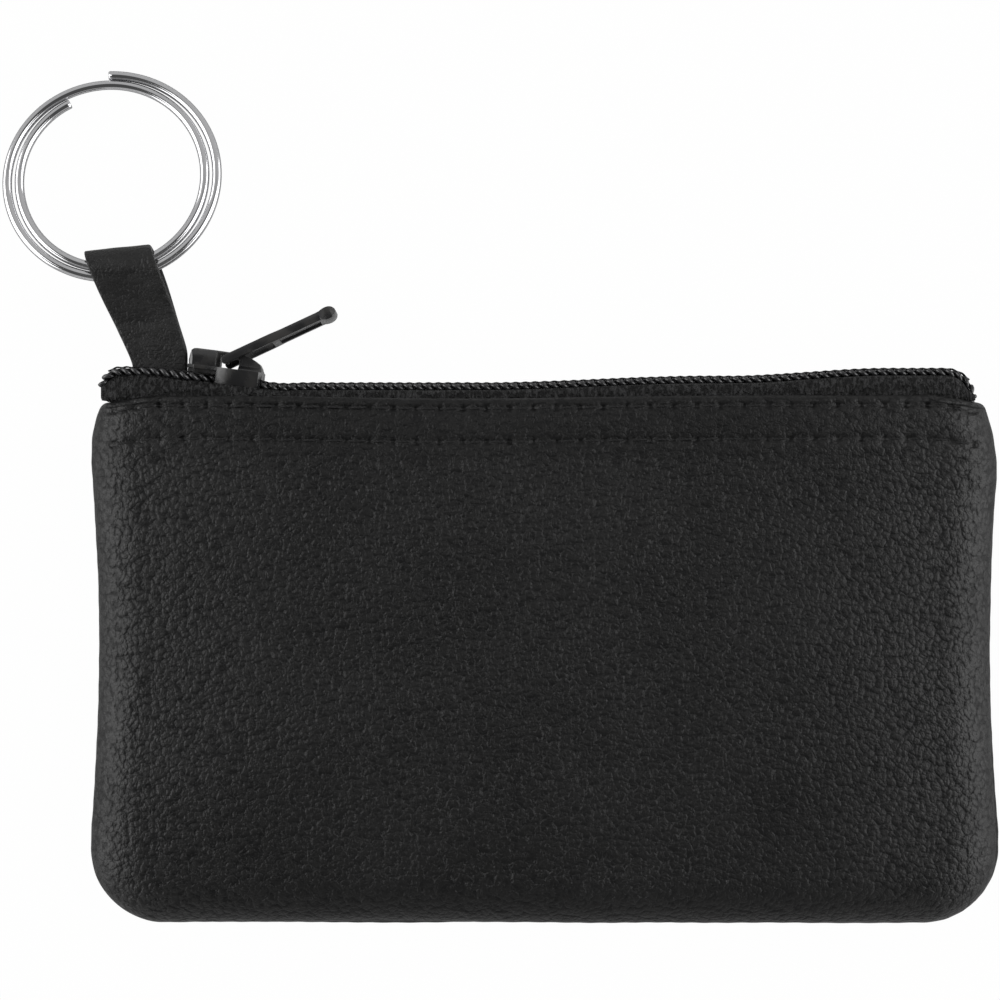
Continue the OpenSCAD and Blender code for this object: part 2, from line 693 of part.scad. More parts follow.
module pull_tab() {
    eye = pull_window_l;
    side = pull_w / 2;
    stem = side - 0.25;
    tip = [for (i = [0:12]) [pull_l - pull_tip_l * (1 - i / 12), tip_half(i / 12)]];
    color([0.08, 0.08, 0.08])
    on_zip()
    translate([0, pivot_y, 0])
    rotate([0, 0, pull_angle + slider_tilt]) rotate([-pull_roll, 0, 0]) {
        cylinder(d = pull_bar_d, h = pull_w - 0.6, center = true);
        difference() {
            intersection() {
                // side view: a round eye, a straight stem and a flared tip
                union() {
                    cylinder(d = pull_t, h = pull_w, center = true);
                    translate([0, 0, -side])
                    linear_extrude(pull_w)
                    polygon(concat([[0, pull_t / 2]], tip,
                        [for (i = [len(tip) - 1:-1:0]) [tip[i][0], -tip[i][1]]], [[0, -pull_t / 2]]));
                }
                // plan view: a wide eye that narrows to the stem, and a rounded tip
                slab(-2, 2)
                polygon([[-1, -side], [eye, -side], [eye + 1.5, -stem], [pull_l - 2.4, -stem],
                    [pull_l - 1.4, -side + 0.08], [pull_l - 0.6, -side + 0.12], [pull_l, -side + 0.55],
                    [pull_l, side - 0.55], [pull_l - 0.6, side - 0.12], [pull_l - 1.4, side - 0.08],
                    [pull_l - 2.4, stem], [eye + 1.5, stem], [eye, side], [-1, side]]);
            }
            // window that clears the crown
            translate([-1, -2, -crown_w / 2 - pull_gap]) cube([eye + 1, 4, crown_w + 2 * pull_gap]);
            // recess along the under side of the stem
            translate([eye + 0.9, -pull_t / 2 - 0.4, -stem + 0.5])
                cube([pull_l - eye - 3.4, 0.65, 2 * stem - 1]);
        }
    }
}

// ---- key strap: sewn into the hem beside the zip's end, folded over the split ring ----

mouth_y = top_y + 1.2;
tail_t = 2 * strap_t;
strap_x = strap_inset - body_w / 2;
loop_at = [strap_x - strap_lean, mouth_y + strap_l, seam_z];
bundle = 2 * ring_wire + 0.05;
ring_mid_r = ring_od / 2 - bundle / 2;
tunnel_half = strap_w / 2 + 0.6;
tunnel_sag = ring_mid_r - sqrt(pow(ring_mid_r, 2) - pow(tunnel_half, 2));
loop_r = norm([bundle / 2 + tunnel_sag / 2, ring_wire / 2]) + loop_gap;
loop_outer = loop_r + strap_t;

// A prism across the strap, from an outline seen along the loop's axis
module across_strap(w) {
    rotate([0, 90, 0]) rotate([0, 0, 90]) linear_extrude(w, center = true) children();
}

// The strap's outline from above: it leaves the mouth upright and leans over to the loop
module strap_outline() {
    half = strap_w / 2;
    bend_y = mouth_y + 1.6;
    far = 4;
    run = strap_lean / (loop_at[1] - bend_y);
    polygon([[strap_x - half, mouth_y - 2], [strap_x + half, mouth_y - 2], [strap_x + half, bend_y],
        [strap_x + half - run * (loop_at[1] + far - bend_y), loop_at[1] + far],
        [strap_x - half - run * (loop_at[1] + far - bend_y), loop_at[1] + far], [strap_x - half, bend_y]]);
}

module strap_loop() {
    wide = 3 * strap_w;
    neck = loop_outer * 2.2;
    color([0.16, 0.16, 0.16])
    intersection() {
        union() {
            translate(loop_at) rotate([0, 0, loop_slope])
            difference() {
                across_strap(wide) {
                    circle(r = loop_outer);
                    polygon([[-loop_outer * 0.3, loop_outer * 0.95], [-neck, strap_t], [-neck, -strap_t],
                        [-loop_outer * 0.3, -loop_outer * 0.95]]);
                    translate([-strap_l + 1.5, -strap_t]) square([strap_l - 1.5, tail_t]);
                }
                rotate([0, 90, 0]) cylinder(r = loop_r, h = wide + 1, center = true);
            }
            translate([strap_x, mouth_y, seam_z]) {
                rotate([0, 90, 0]) cylinder(r = strap_t, h = wide, center = true);
                translate([-wide / 2, 0, -strap_t]) cube([wide, 4, tail_t]);
            }
        }
        linear_extrude(4 * seam_z) strap_outline();
    }
}

module strap_tail() {
    // it steps down to the inner face of the back hem, where both stitch rows hold it
    wall = level(BACK, lining_face_h(BACK, strap_x - strap_w / 2, top_y - 3) - skin_gap);
    low_y = top_y - hem_w - 1.5;
    end_y = mouth_y - strap_t - 0.12;
    color([0.16, 0.16, 0.16])
    translate([strap_x, 0, 0])
    across_strap(strap_w)
    polygon([[low_y, wall], [low_y, wall + tail_t], [top_y - 5, wall + tail_t],
        [end_y - 0.6, seam_z + strap_t], [end_y, seam_z + strap_t], [end_y, seam_z - strap_t],
        [end_y - 0.6, seam_z - strap_t], [top_y - 4.4, wall]]);
}

// The wire winds nearly twice round, from its outer end at the top to its inner end
ring_turns = 693;
ring_steps = 76;
ring_far = ring_od - bundle / 2;
ring_tilt = asin((seam_z - ring_wire / 2 - 0.08) / ring_far);

function ring_r(a) = ring_od / 2 - ring_wire / 2 - (ring_wire + 0.05) * a / 360;

module split_ring() {
    color([0.8, 0.8, 0.82])
    translate(loop_at)
    rotate([0, 0, loop_slope])
    rotate([-ring_tilt, 0, 0])
    translate([0, ring_mid_r - tunnel_sag / 2, 0])
    swept_bar([for (i = [0 : ring_steps]) let (a = ring_turns * i / ring_steps, r = ring_r(a - 180))
        [r * sin(a), r * cos(a), 0]], ring_wire, 8);
}

back_panel();
back_lining();
back_zip_tape();
back_zip_coil();
back_coil_core();
back_hem_stitches();
side_seam_stitches();
front_panel();
front_lining();
front_zip_tape();
front_zip_coil();
front_coil_core();
front_hem_stitches();
slider_body();
slider_crown();
lock_spring();
pull_tab();
strap_tail();
strap_loop();
split_ring();
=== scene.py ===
import json
import math

import bmesh
import bpy
import numpy as np
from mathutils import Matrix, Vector

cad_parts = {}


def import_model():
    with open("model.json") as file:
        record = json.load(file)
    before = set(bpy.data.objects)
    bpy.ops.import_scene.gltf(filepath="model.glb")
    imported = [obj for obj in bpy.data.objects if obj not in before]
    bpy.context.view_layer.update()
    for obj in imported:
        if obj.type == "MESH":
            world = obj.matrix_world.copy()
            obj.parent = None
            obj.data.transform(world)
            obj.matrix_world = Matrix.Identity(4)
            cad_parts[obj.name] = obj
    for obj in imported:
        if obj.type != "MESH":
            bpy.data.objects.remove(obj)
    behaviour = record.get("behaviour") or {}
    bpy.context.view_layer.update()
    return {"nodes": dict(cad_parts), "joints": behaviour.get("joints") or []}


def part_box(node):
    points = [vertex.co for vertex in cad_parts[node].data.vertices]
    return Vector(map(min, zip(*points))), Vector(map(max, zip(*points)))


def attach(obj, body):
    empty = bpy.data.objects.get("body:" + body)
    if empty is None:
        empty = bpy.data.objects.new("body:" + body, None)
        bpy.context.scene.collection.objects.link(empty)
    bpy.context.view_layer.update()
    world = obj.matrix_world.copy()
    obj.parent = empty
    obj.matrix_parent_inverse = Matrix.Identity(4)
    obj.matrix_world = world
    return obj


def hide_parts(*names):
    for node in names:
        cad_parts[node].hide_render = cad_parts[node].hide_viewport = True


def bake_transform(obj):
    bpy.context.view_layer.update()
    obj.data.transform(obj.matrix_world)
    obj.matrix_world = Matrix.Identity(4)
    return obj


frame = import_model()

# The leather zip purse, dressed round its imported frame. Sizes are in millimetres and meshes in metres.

scene = bpy.context.scene
MM = 0.001
FRONT, BACK = 1, -1
prefix = {FRONT: "front_", BACK: "back_"}

# ---- driving sizes, the same as the frame's ----
body_w, body_h = 110.0, 63.8
waist, shoulder, shoulder_pull = 0.9, 1.5, 0.55
corner_r, roll = 9.0, 7.0
back_depth, front_depth, front_crown = 5.5, 5.0, 1.5
mouth_dip, mouth_end_drop = 0.4, 0.8
hem_w, hem_t, hem_lift = 7.0, 0.5, 0.55
leather_t, lining_t, skin_gap, seam_gap = 0.9, 0.3, 0.1, 0.16
allowance_w, mouth_trim = 4.0, 0.55
stitch_pitch, upper_row, lower_row, thread_d = 2.8, 1.2, 5.2, 0.4
tape_inset, zip_rise, slider_rise = 4.3, 1.1, 0.75
open_rise, closed_rise = 1.85, 1.75
coil_pitch, filament, coil_h, coil_w, coil_mesh = 1.17, 0.54, 1.05, 2.35, 0.5
coil_seat, core_r, curl_fill, tape_t, coil_parting = -0.1, 0.16, 0.24, 0.4, 1.9
open_curl_r, closed_curl_r = 2.5, 3.4
slider_inset, slider_l, slider_tilt = 16.2, 9.1, 7.0
strap_inset, strap_w, strap_t, strap_l, strap_lean, loop_slope = 7.8, 6.8, 0.85, 14.4, 4.4, 5.5
ring_od, ring_wire, loop_gap, loop_drop = 26.3, 1.15, 0.15, 0.15

seam_z = back_depth
top_y, bottom_y = body_h / 2, -body_h / 2
half_gap = seam_gap / 2
hem_line = top_y - hem_w
corner_y = bottom_y + corner_r
corner_x = body_w / 2 - corner_r
zip_y = top_y + zip_rise
slider_x = slider_inset - body_w / 2
slider_y = zip_y + slider_rise
tape_end = body_w / 2 - tape_inset
chain_half = coil_w - coil_mesh / 2
tape_drop = coil_h / 2 + coil_seat + tape_t / 2
mouth_y = top_y + 1.2
strap_x = strap_inset - body_w / 2

# at each end: where the chain starts to curl down, how far it turns, how far out the tape shows
open_start, closed_start = 51.05, 48.4
open_turn, closed_turn = math.radians(68), math.radians(78)
open_show, closed_show = 53.5, 51.9
open_run = -open_start - open_curl_r * open_turn
closed_run = closed_start + closed_curl_r * closed_turn

rng = np.random.default_rng(7)


# ---- small helpers ----

def lerp(a, b, t):
    return a + (b - a) * t


def ease(t):
    """A soft step from 0 to 1."""
    t = np.clip(t, 0, 1)
    return t * t * (3 - 2 * t)


def ramp(v, a, b):
    """A soft step from 0 at a to 1 at b."""
    return ease((v - a) / (b - a))


def bell(v, width):
    """1 where v is 0, fading out on both sides."""
    return np.exp(-(v / width) ** 2)


def waves(x, y, size, seed):
    """Smooth, irregular hills about `size` apart, from -1 to 1."""
    pick = np.random.default_rng(seed)
    total = np.zeros(np.broadcast(x, y).shape)
    wave_count = 7
    for _ in range(wave_count):
        a = pick.uniform(0, math.pi)
        f = pick.uniform(0.7, 1.6) * math.tau / size / 1.6
        total += np.sin(f * (x * math.cos(a) + y * math.sin(a)) + pick.uniform(0, math.tau))
    return total / 4


# ---- the purse's outline and heights ----

def half_width(y):
    """From the middle to the side, drawn in at the waist and the shoulders."""
    waist_y, waist_reach = 1.5, 22
    drawn = waist * np.maximum(0, 1 - ((y - waist_y) / waist_reach) ** 2)
    return body_w / 2 - drawn - shoulder * ramp(y, top_y - 8, top_y + 2) ** 2 / ease(0.8) ** 2


def edge_y(x):
    """The hem's upper edge: it dips left of the middle and drops at both ends."""
    dip_x, dip_w = -10, 20
    return (top_y - mouth_dip * bell(x - dip_x, dip_w)
            - mouth_end_drop * ramp(abs(x), body_w / 2 - 9, body_w / 2 - 1.5))


def bulge(x, y):
    """1 where the filled purse is thickest, 0 along its edge."""
    low, peak, high = bottom_y + roll, -5, top_y + 8
    v = np.where(y < peak, (peak - y) / (peak - low), (y - peak) / (high - peak))
    u = x / (body_w / 2 - roll)
    return np.maximum(0, 1 - u ** 4) * np.maximum(0, 1 - v * v)


def at_hem(y):
    """1 on the hem, 0 below it."""
    return ramp(y, hem_line - 2.5, hem_line + 0.5)


def outer_h(side, x, y):
    """Height of the leather's face above the seam."""
    if side == FRONT:
        return front_depth + front_crown * bulge(x, y)
    return seam_z - half_gap + lerp(0.25 * bulge(x, y), -hem_lift, at_hem(y))


def inner_h(side, x, y):
    """Height of the leather's inner side above the seam; the turned hem is thicker."""
    turned = leather_t + hem_t * ramp(y, hem_line - 1, hem_line + 0.5)
    if side == FRONT:
        return front_depth + front_crown * bulge(x, y) - turned
    return seam_z - half_gap - hem_lift * at_hem(y) - turned


def rolled_off(d, r):
    """What a round edge leaves of the height at a distance from the side."""
    return np.where(d >= r, 1, np.sqrt(np.maximum(0, 1 - ((r - d) / r) ** 2)))


def level(side, h):
    """The Z of a height above the seam on one side."""
    return seam_z + side * (half_gap + h)


def stations(sides, corners, bottoms):
    """Points of the U-shaped seam, the way inwards, and the hem point that each runs to."""
    # the parts of the hem that the side, the corner and the bottom of the seam run to
    side_span, corner_span, bottom_span = 9, 6, 12
    total = 2 * (side_span + corner_span) + bottom_span
    hem = [edge_y(body_w / 2 - 2), top_y - 3, hem_line + 0.5, hem_line - 1, corner_y]
    close = np.array([0, 0.03, 0.1, 0.2, 0.35, 0.55, 0.75]) / (hem[0] - hem[1])
    i = np.concatenate([close, np.linspace(0.32, 3, sides // 2),
                        np.linspace(3, side_span, sides - sides // 2)[1:]])
    y = np.interp(i, [0, 1, 2, 3, side_span], hem)
    a = np.radians(180 + np.linspace(0, 90, corners + 1)[1:])
    round_corner = np.linspace(0, 1, corners + 1)[1:]
    along = np.linspace(-corner_x, corner_x, bottoms + 1)[1:bottoms // 2 + 1]
    bottom_share = bottom_span * (along + corner_x) / (2 * corner_x)
    left = np.concatenate([
        np.column_stack([-half_width(y), y, np.ones_like(y), 0 * y, i / total]),
        np.column_stack([-corner_x + corner_r * np.cos(a), corner_y + corner_r * np.sin(a),
                         -np.cos(a), -np.sin(a), (side_span + corner_span * round_corner) / total]),
        np.column_stack([along, 0 * along + bottom_y, 0 * along, 0 * along + 1,
                         (side_span + corner_span + bottom_share) / total])])
    right = left[:-1][::-1] * [-1, 1, -1, 1, -1] + [0, 0, 0, 0, 1]
    both = np.concatenate([left, right])
    share = both[:, 4]
    reach = half_width(top_y) - roll - 2
    evened = 0.15
    hem_x = -reach * np.cos(math.pi * lerp(share, ease(share), evened))
    return both[:, :2], both[:, 2:4], hem_x


# ---- meshes ----

def add_object(name, data, at=(0, 0, 0)):
    """An object of the scene."""
    made = bpy.data.objects.new(name, data)
    made.location = at
    scene.collection.objects.link(made)
    return made


def face_outwards(mesh):
    """Joins points that coincide and turns the faces outwards."""
    bm = bmesh.new()
    bm.from_mesh(mesh)
    bmesh.ops.remove_doubles(bm, verts=bm.verts, dist=1e-7)
    bmesh.ops.recalc_face_normals(bm, faces=bm.faces)
    bm.to_mesh(mesh)
    bm.free()


def make_mesh(name, points, faces, material, angle=None, closed=True):
    """A piece from points in millimetres; edges sharper than the angle stay sharp."""
    mesh = bpy.data.meshes.new(name)
    mesh.from_pydata((np.asarray(points) * MM).tolist(), [], faces)
    mesh.validate()
    mesh.polygons.foreach_set("use_smooth", [closed] * len(mesh.polygons))
    if angle:
        mesh.set_sharp_from_angle(angle=math.radians(angle))
    mesh.update()
    mesh.materials.append(material)
    if closed:
        face_outwards(mesh)
    return add_object(name, mesh)


def grid_quads(rows, cols, wrap=False):
    """Quads of a grid; with wrap the last column joins the first."""
    r = np.arange(rows - 1)[:, None]
    c = np.arange(cols if wrap else cols - 1)[None, :]
    a = r * cols + c
    b = r * cols + (c + 1) % cols
    return np.stack([a, a + cols, b + cols, b], axis=-1).reshape(-1, 4).tolist()


def bar_faces(rows, cols):
    """Faces of a section swept along a path, with both ends closed."""
    ends = [list(range(cols)), [(rows - 1) * cols + k for k in range(cols - 1, -1, -1)]]
    return grid_quads(rows, cols, wrap=True) + ends


def bag_faces(rows, cols):
    """Faces of a closed section swept along the seam, with both ends filled in."""
    faces = grid_quads(rows, cols)
    faces += [[(rows - 1) * cols + c, c, c + 1, (rows - 1) * cols + c + 1] for c in range(cols - 1)]
    for c in (0, cols - 1):
        faces += [[r * cols + c, (r + 1) * cols + c, (rows - 2 - r) * cols + c, (rows - 1 - r) * cols + c]
                  for r in range(rows // 2 - 1)]
    return faces


def tube(path, radius, sides):
    """A round bar swept along a path. The radius may change along it."""
    path = np.asarray(path, float)
    radius = np.broadcast_to(radius, len(path)).astype(float)
    ahead = np.gradient(path, axis=0)
    ahead /= np.linalg.norm(ahead, axis=1)[:, None]
    up = np.cross(ahead[0], [0.3, 0.2, 0.93])
    ring = np.radians(360 * np.arange(sides) / sides)
    points = []
    for p, t, r in zip(path, ahead, radius):
        up = up - up.dot(t) * t
        up /= np.linalg.norm(up)
        side = np.cross(t, up)
        points.append(p + r * (np.cos(ring)[:, None] * up + np.sin(ring)[:, None] * side))
    return np.concatenate(points), bar_faces(len(path), sides)


def joined(parts):
    """Several (points, faces) as one."""
    points, faces, n = [], [], 0
    for p, f in parts:
        points.append(p)
        faces += [[i + n for i in face] for face in f]
        n += len(p)
    return np.concatenate(points), faces


# ---- materials ----

class Nodes:
    """Short calls for the nodes of one tree."""

    def __init__(self, tree):
        self.tree = tree
        self.link = tree.links.new

    def node(self, kind, inputs=(), **settings):
        """A node; each input is a constant or another node's output."""
        made = self.tree.nodes.new("ShaderNode" + kind)
        for key, value in settings.items():
            setattr(made, key, value)
        for key, value in dict(inputs).items():
            if isinstance(value, bpy.types.NodeSocket):
                self.link(value, made.inputs[key])
            else:
                made.inputs[key].default_value = value
        return made

    def math(self, how, a, b=0.0):
        return self.node("Math", {0: a, 1: b}, operation=how).outputs[0]

    def times(self, a, b):
        return self.math("MULTIPLY", a, b)


class Paint(Nodes):
    """A material whose patterns lie in the object's coordinates."""

    def __init__(self, name, color, roughness, **sockets):
        self.mat = bpy.data.materials.new(name)
        self.mat.use_nodes = True
        super().__init__(self.mat.node_tree)
        self.shader = self.tree.nodes["Principled BSDF"]
        for key, value in {"Base Color": (*color, 1), "Roughness": roughness, **sockets}.items():
            self.shader.inputs[key.replace("_", " ")].default_value = value
        self.coords = self.node("TexCoord").outputs["Object"]
        self.height = None

    def noise(self, scale, detail=2.0, at=None, rough=0.5):
        return self.node("TexNoise", {
            "Vector": at or self.coords, "Scale": scale, "Detail": detail, "Roughness": rough}).outputs["Fac"]

    def stretched(self, factors, turn=(0, 0, 0)):
        """The coordinates, scaled and turned."""
        return self.node("Mapping", {"Vector": self.coords, "Scale": factors, "Rotation": turn}).outputs[0]

    def warped(self, scale, amount):
        """The coordinates, pushed about by noise."""
        push = self.node("TexNoise", {"Vector": self.coords, "Scale": scale, "Detail": 0.0})
        centred = self.node("VectorMath", {0: push.outputs["Color"], 1: (0.5, 0.5, 0.5)},
                            operation="SUBTRACT").outputs[0]
        scaled = self.node("VectorMath", {0: centred, "Scale": amount}, operation="SCALE").outputs[0]
        return self.node("VectorMath", {0: self.coords, 1: scaled}, operation="ADD").outputs[0]

    def domes(self, scale, at):
        """Round hills, highest in the middle of each cell."""
        far = self.node("TexVoronoi", {"Vector": at, "Scale": scale}).outputs["Distance"]
        return self.math("SUBTRACT", 1.0, self.times(far, far))

    def remap(self, value, low, high, to_low=0.0, to_high=1.0):
        """A soft step from one output to the other."""
        return self.node("MapRange", {
            "Value": value, "From Min": low, "From Max": high, "To Min": to_low, "To Max": to_high},
            interpolation_type="SMOOTHSTEP").outputs["Result"]

    def bands(self, scale, axis, at=None):
        """Even, parallel waves."""
        return self.node("TexWave", {
            "Vector": at or self.coords, "Scale": scale, "Detail": 1.0},
            bands_direction=axis).outputs["Fac"]

    def bump(self, height, distance, strength=1.0):
        """One more layer of relief; the distance is in metres."""
        inputs = {"Height": height, "Distance": distance, "Strength": strength}
        if self.height:
            inputs["Normal"] = self.height
        self.height = self.node("Bump", inputs).outputs["Normal"]
        self.drive("Normal", self.height)

    def drive(self, socket, value):
        """Feeds a pattern into a socket of the shader."""
        self.link(value, self.shader.inputs[socket])

    def tones(self, factor, dark, light):
        """Base colour between two tones."""
        first, second, result = 6, 7, 2
        made = self.node("Mix", {0: factor, first: (*dark, 1), second: (*light, 1)}, data_type="RGBA")
        self.drive("Base Color", made.outputs[result])


def pebbled_leather():
    """Round pebbles under a millimetre apart, flatter on the hem and the rolled sides.

    The cracks between them are painted darker and lose their shine, a painted shade that is strongest towards
    the sides, where the light comes in low; towards the sides the leather is also given more shine, a painted
    highlight.
    """
    paint = Paint("pebbled_leather", (0.009, 0.009, 0.009), 0.46, Specular_IOR_Level=0.3)
    pebbles = paint.domes(1500, paint.warped(900, 0.0007))
    patches = paint.noise(75, 2.0)
    fade = paint.remap(patches, 0.32, 0.68, 0.8, 1.1)
    place = paint.node("SeparateXYZ", {0: paint.coords}).outputs
    aside = paint.math("ABSOLUTE", place["X"])
    middle = paint.remap(aside, 12 * MM, 42 * MM, 0.85, 0.8)
    rolled = paint.remap(aside, (body_w / 2 - 5) * MM, (body_w / 2 - 1) * MM)
    hem = paint.remap(place["Y"], (hem_line - 1.2) * MM, (hem_line + 0.8) * MM, 1.0, 0.6)
    depth = paint.times(paint.times(fade, hem),
                       paint.times(middle, paint.remap(rolled, 0, 1, 1.0, 0.6)))
    relief = paint.times(pebbles, depth)
    uneven = paint.times(paint.noise(900, 2.0), 0.3)
    fine = paint.noise(1, 3.0, at=paint.stretched((700, 1500, 700)))
    wrinkles = paint.times(fine, paint.times(rolled, 0.8))
    paint.bump(paint.noise(260, 1.0), 0.0002, 0.5)
    paint.bump(paint.math("ADD", relief, paint.math("ADD", uneven, wrinkles)), 0.00021)
    paint.bump(paint.domes(3800, paint.warped(2000, 0.0003)), 0.00005)
    # Painted shade: the base colour is darker in the valleys between the pebbles and lighter on their tops.
    paint.tones(paint.remap(pebbles, 0.55, 0.9), (0.002, 0.002, 0.0021), (0.005, 0.0049, 0.0048))
    paint.drive("Roughness", paint.remap(patches, 0.2, 0.8, 0.42, 0.5))
    # Painted shade and highlight: less shine in the cracks, growing towards the sides, and more shine over
    # the sides, where the side lamps light them.
    cracks = paint.times(paint.remap(pebbles, 0.48, 0.84, 1.0, 0.0),
                        paint.remap(aside, 25 * MM, 50 * MM, 0.03, 0.13))
    shine = paint.remap(aside, 25 * MM, 52 * MM, 0.285, 0.39)
    paint.drive("Specular IOR Level", paint.math("SUBTRACT", shine, cracks))
    return paint.mat


def strap_leather():
    """Thin soft leather: a fine even grain, with a few long creases."""
    paint = Paint("strap_leather", (0.010, 0.010, 0.010), 0.5, Specular_IOR_Level=0.35)
    grain = paint.domes(3000, paint.warped(1500, 0.0004))
    creases = paint.noise(1, 3.0, at=paint.stretched((260, 620, 500), (0, 0, 0.7)), rough=0.55)
    paint.bump(creases, 0.0005, 0.6)
    paint.bump(grain, 0.00007)
    paint.bump(paint.noise(6000), 0.00002, 0.5)
    # Painted shade: the base colour is darker in the grain's valleys and in the creases.
    paint.tones(paint.times(grain, paint.remap(creases, 0.3, 0.6, 0.6, 1.0)),
                (0.003, 0.003, 0.003), (0.0115, 0.0114, 0.0112))
    paint.drive("Roughness", paint.remap(creases, 0.3, 0.7, 0.42, 0.54))
    return paint.mat


def lining_weave():
    """Two sets of threads that cross, one thread every pitch."""
    pitch = 0.35
    paint = Paint("lining_weave", (0.022, 0.022, 0.024), 0.82, Sheen_Weight=0.25, Sheen_Roughness=0.5)
    warp, weft, depth = (paint.bands(1 / (pitch * MM) / 2, axis) for axis in "XYZ")
    weave = paint.math("MAXIMUM", warp, paint.math("MAXIMUM", paint.times(weft, 0.9), depth))
    fuzz = paint.noise(5200, 3.0)
    paint.bump(weave, 0.00011, 0.9)
    paint.bump(fuzz, 0.00005, 0.5)
    # Painted shade: the base colour is darker between the threads, with a random tone from the fuzz.
    paint.tones(paint.times(weave, fuzz), (0.008, 0.008, 0.009), (0.022, 0.022, 0.024))
    return paint.mat


def knitted_tape():
    """Uneven rows of small loops along the zip, with ribs across them."""
    rib_pitch = 0.62
    paint = Paint("knitted_tape", (0.012, 0.012, 0.0125), 0.6, Specular_IOR_Level=0.2)
    yarns = paint.remap(paint.noise(1, 3.0, at=paint.stretched((2300, 1200, 1200)), rough=0.65), 0.3, 0.7)
    loops = paint.domes(1, paint.stretched((2300, 1500, 1500)))
    ribs = paint.bands(1 / (rib_pitch * MM) / 2, "X", at=paint.warped(500, 0.0006))
    knit = paint.math("ADD", paint.times(yarns, 0.6), paint.times(loops, 0.4))
    knit = paint.math("ADD", knit, paint.times(ribs, 0.12))
    paint.bump(knit, 0.0008)
    paint.bump(paint.noise(6500, 2.0), 0.00004, 0.6)
    # Painted shade and light: the base colour is nearly black in the knit's hollows and lighter on its loops.
    paint.tones(paint.remap(knit, 0.5, 0.85), (0.0003, 0.0003, 0.0003), (0.03, 0.03, 0.0305))
    return paint.mat


def twisted_thread():
    """Dull black sewing thread with the twist of its plies."""
    ply_pitch = 0.36
    paint = Paint("bonded_thread", (0.007, 0.007, 0.0072), 0.7, Specular_IOR_Level=0.3)
    ply = paint.bands(1 / (ply_pitch * MM) / 2, "DIAGONAL")
    paint.bump(ply, 0.00005, 0.7)
    # Painted shade: the base colour is darker in the grooves between the plies.
    paint.tones(ply, (0.003, 0.003, 0.003), (0.0095, 0.0095, 0.0097))
    return paint.mat


def nylon():
    """Smooth black filament with faint marks."""
    paint = Paint("nylon_filament", (0.016, 0.016, 0.017), 0.26, Coat_Weight=0.25, Coat_Roughness=0.12)
    marks = paint.noise(1500, 3.0)
    paint.bump(marks, 0.00003, 0.5)
    paint.tones(marks, (0.010, 0.010, 0.011), (0.022, 0.022, 0.023))
    paint.drive("Roughness", paint.remap(marks, 0.3, 0.7, 0.2, 0.34))
    return paint.mat


def enamel():
    """Gloss black paint with faint orange peel, browner where it rubs."""
    paint = Paint("black_enamel", (0.012, 0.012, 0.0125), 0.24, Coat_Weight=0.15, Coat_Roughness=0.1,
                  Specular_IOR_Level=0.75)
    peel = paint.noise(1300, 2.0)
    wear = paint.noise(500, 4.0)
    paint.bump(peel, 0.00003, 0.6)
    paint.tones(paint.remap(wear, 0.45, 0.7), (0.010, 0.010, 0.0105), (0.020, 0.019, 0.018))
    paint.drive("Roughness", paint.remap(wear, 0.3, 0.75, 0.2, 0.34))
    return paint.mat


def chrome():
    """Polished plating, drawn and lightly scuffed."""
    paint = Paint("nickel_chrome", (0.64, 0.64, 0.65), 0.09, Metallic=1.0,
                  Specular_Tint=(0.35, 0.35, 0.36, 1))
    drawn = paint.noise(700, 1.0)
    scuffs = paint.noise(300, 5.0)
    paint.bump(drawn, 0.00001, 0.15)
    paint.tones(scuffs, (0.57, 0.57, 0.58), (0.71, 0.71, 0.72))
    paint.drive("Roughness", paint.remap(scuffs, 0.35, 0.7, 0.08, 0.18))
    return paint.mat


def spring_steel():
    """Bare steel strip."""
    paint = Paint("spring_steel", (0.55, 0.55, 0.56), 0.3, Metallic=1.0)
    paint.bump(paint.noise(2500, 2.0), 0.00002, 0.4)
    paint.tones(paint.noise(700, 3.0), (0.45, 0.45, 0.46), (0.62, 0.62, 0.63))
    return paint.mat


LEATHER, STRAP, LINING = pebbled_leather(), strap_leather(), lining_weave()
TAPE, THREAD = knitted_tape(), twisted_thread()
NYLON, ENAMEL, CHROME, STEEL = nylon(), enamel(), chrome(), spring_steel()


# ---- the halves of the leather shell ----

def opens_with_mouth(piece):
    """Bakes the piece's placement into its mesh and reads its points, which are not used."""
    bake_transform(piece)
    co = np.empty(len(piece.data.vertices) * 3)
    piece.data.vertices.foreach_get("co", co)


def stitch_centres():
    """Where the stitches of a row sit along the hem."""
    end_gap = 2.2
    reach = half_width(top_y) - end_gap
    count = math.floor(2 * reach / stitch_pitch)
    return (np.arange(count + 1) - count / 2) * stitch_pitch


def hem_relief(x, y):
    """What the two stitch rows and the turned hem do to the leather's face."""
    step, padding = 0.12, 0.1
    groove, groove_w = 0.12, 0.42
    dent, dent_h, dent_w = 0.42, 0.3, 0.42
    gather, gather_h = 0.05, 1.1
    below = edge_y(x) - y
    inside = ramp(half_width(y) - abs(x), 0.6, 2.0)
    phase = (x - stitch_centres()[0]) / stitch_pitch + 0.5
    hole = (phase - np.round(phase)) * stitch_pitch
    between = np.clip((below - upper_row) / (lower_row - upper_row), 0, 1)
    relief = step * ramp(-below, -hem_w - 0.7, -hem_w + 0.6)
    relief = relief + padding * np.sin(math.pi * between)
    for row in (upper_row, lower_row):
        off = below - row
        relief = relief - groove * bell(off, groove_w) - dent * bell(off, dent_h) * bell(hole, dent_w)
        relief = relief - gather * bell(off, gather_h) * np.cos(math.tau * phase)
    return relief * inside


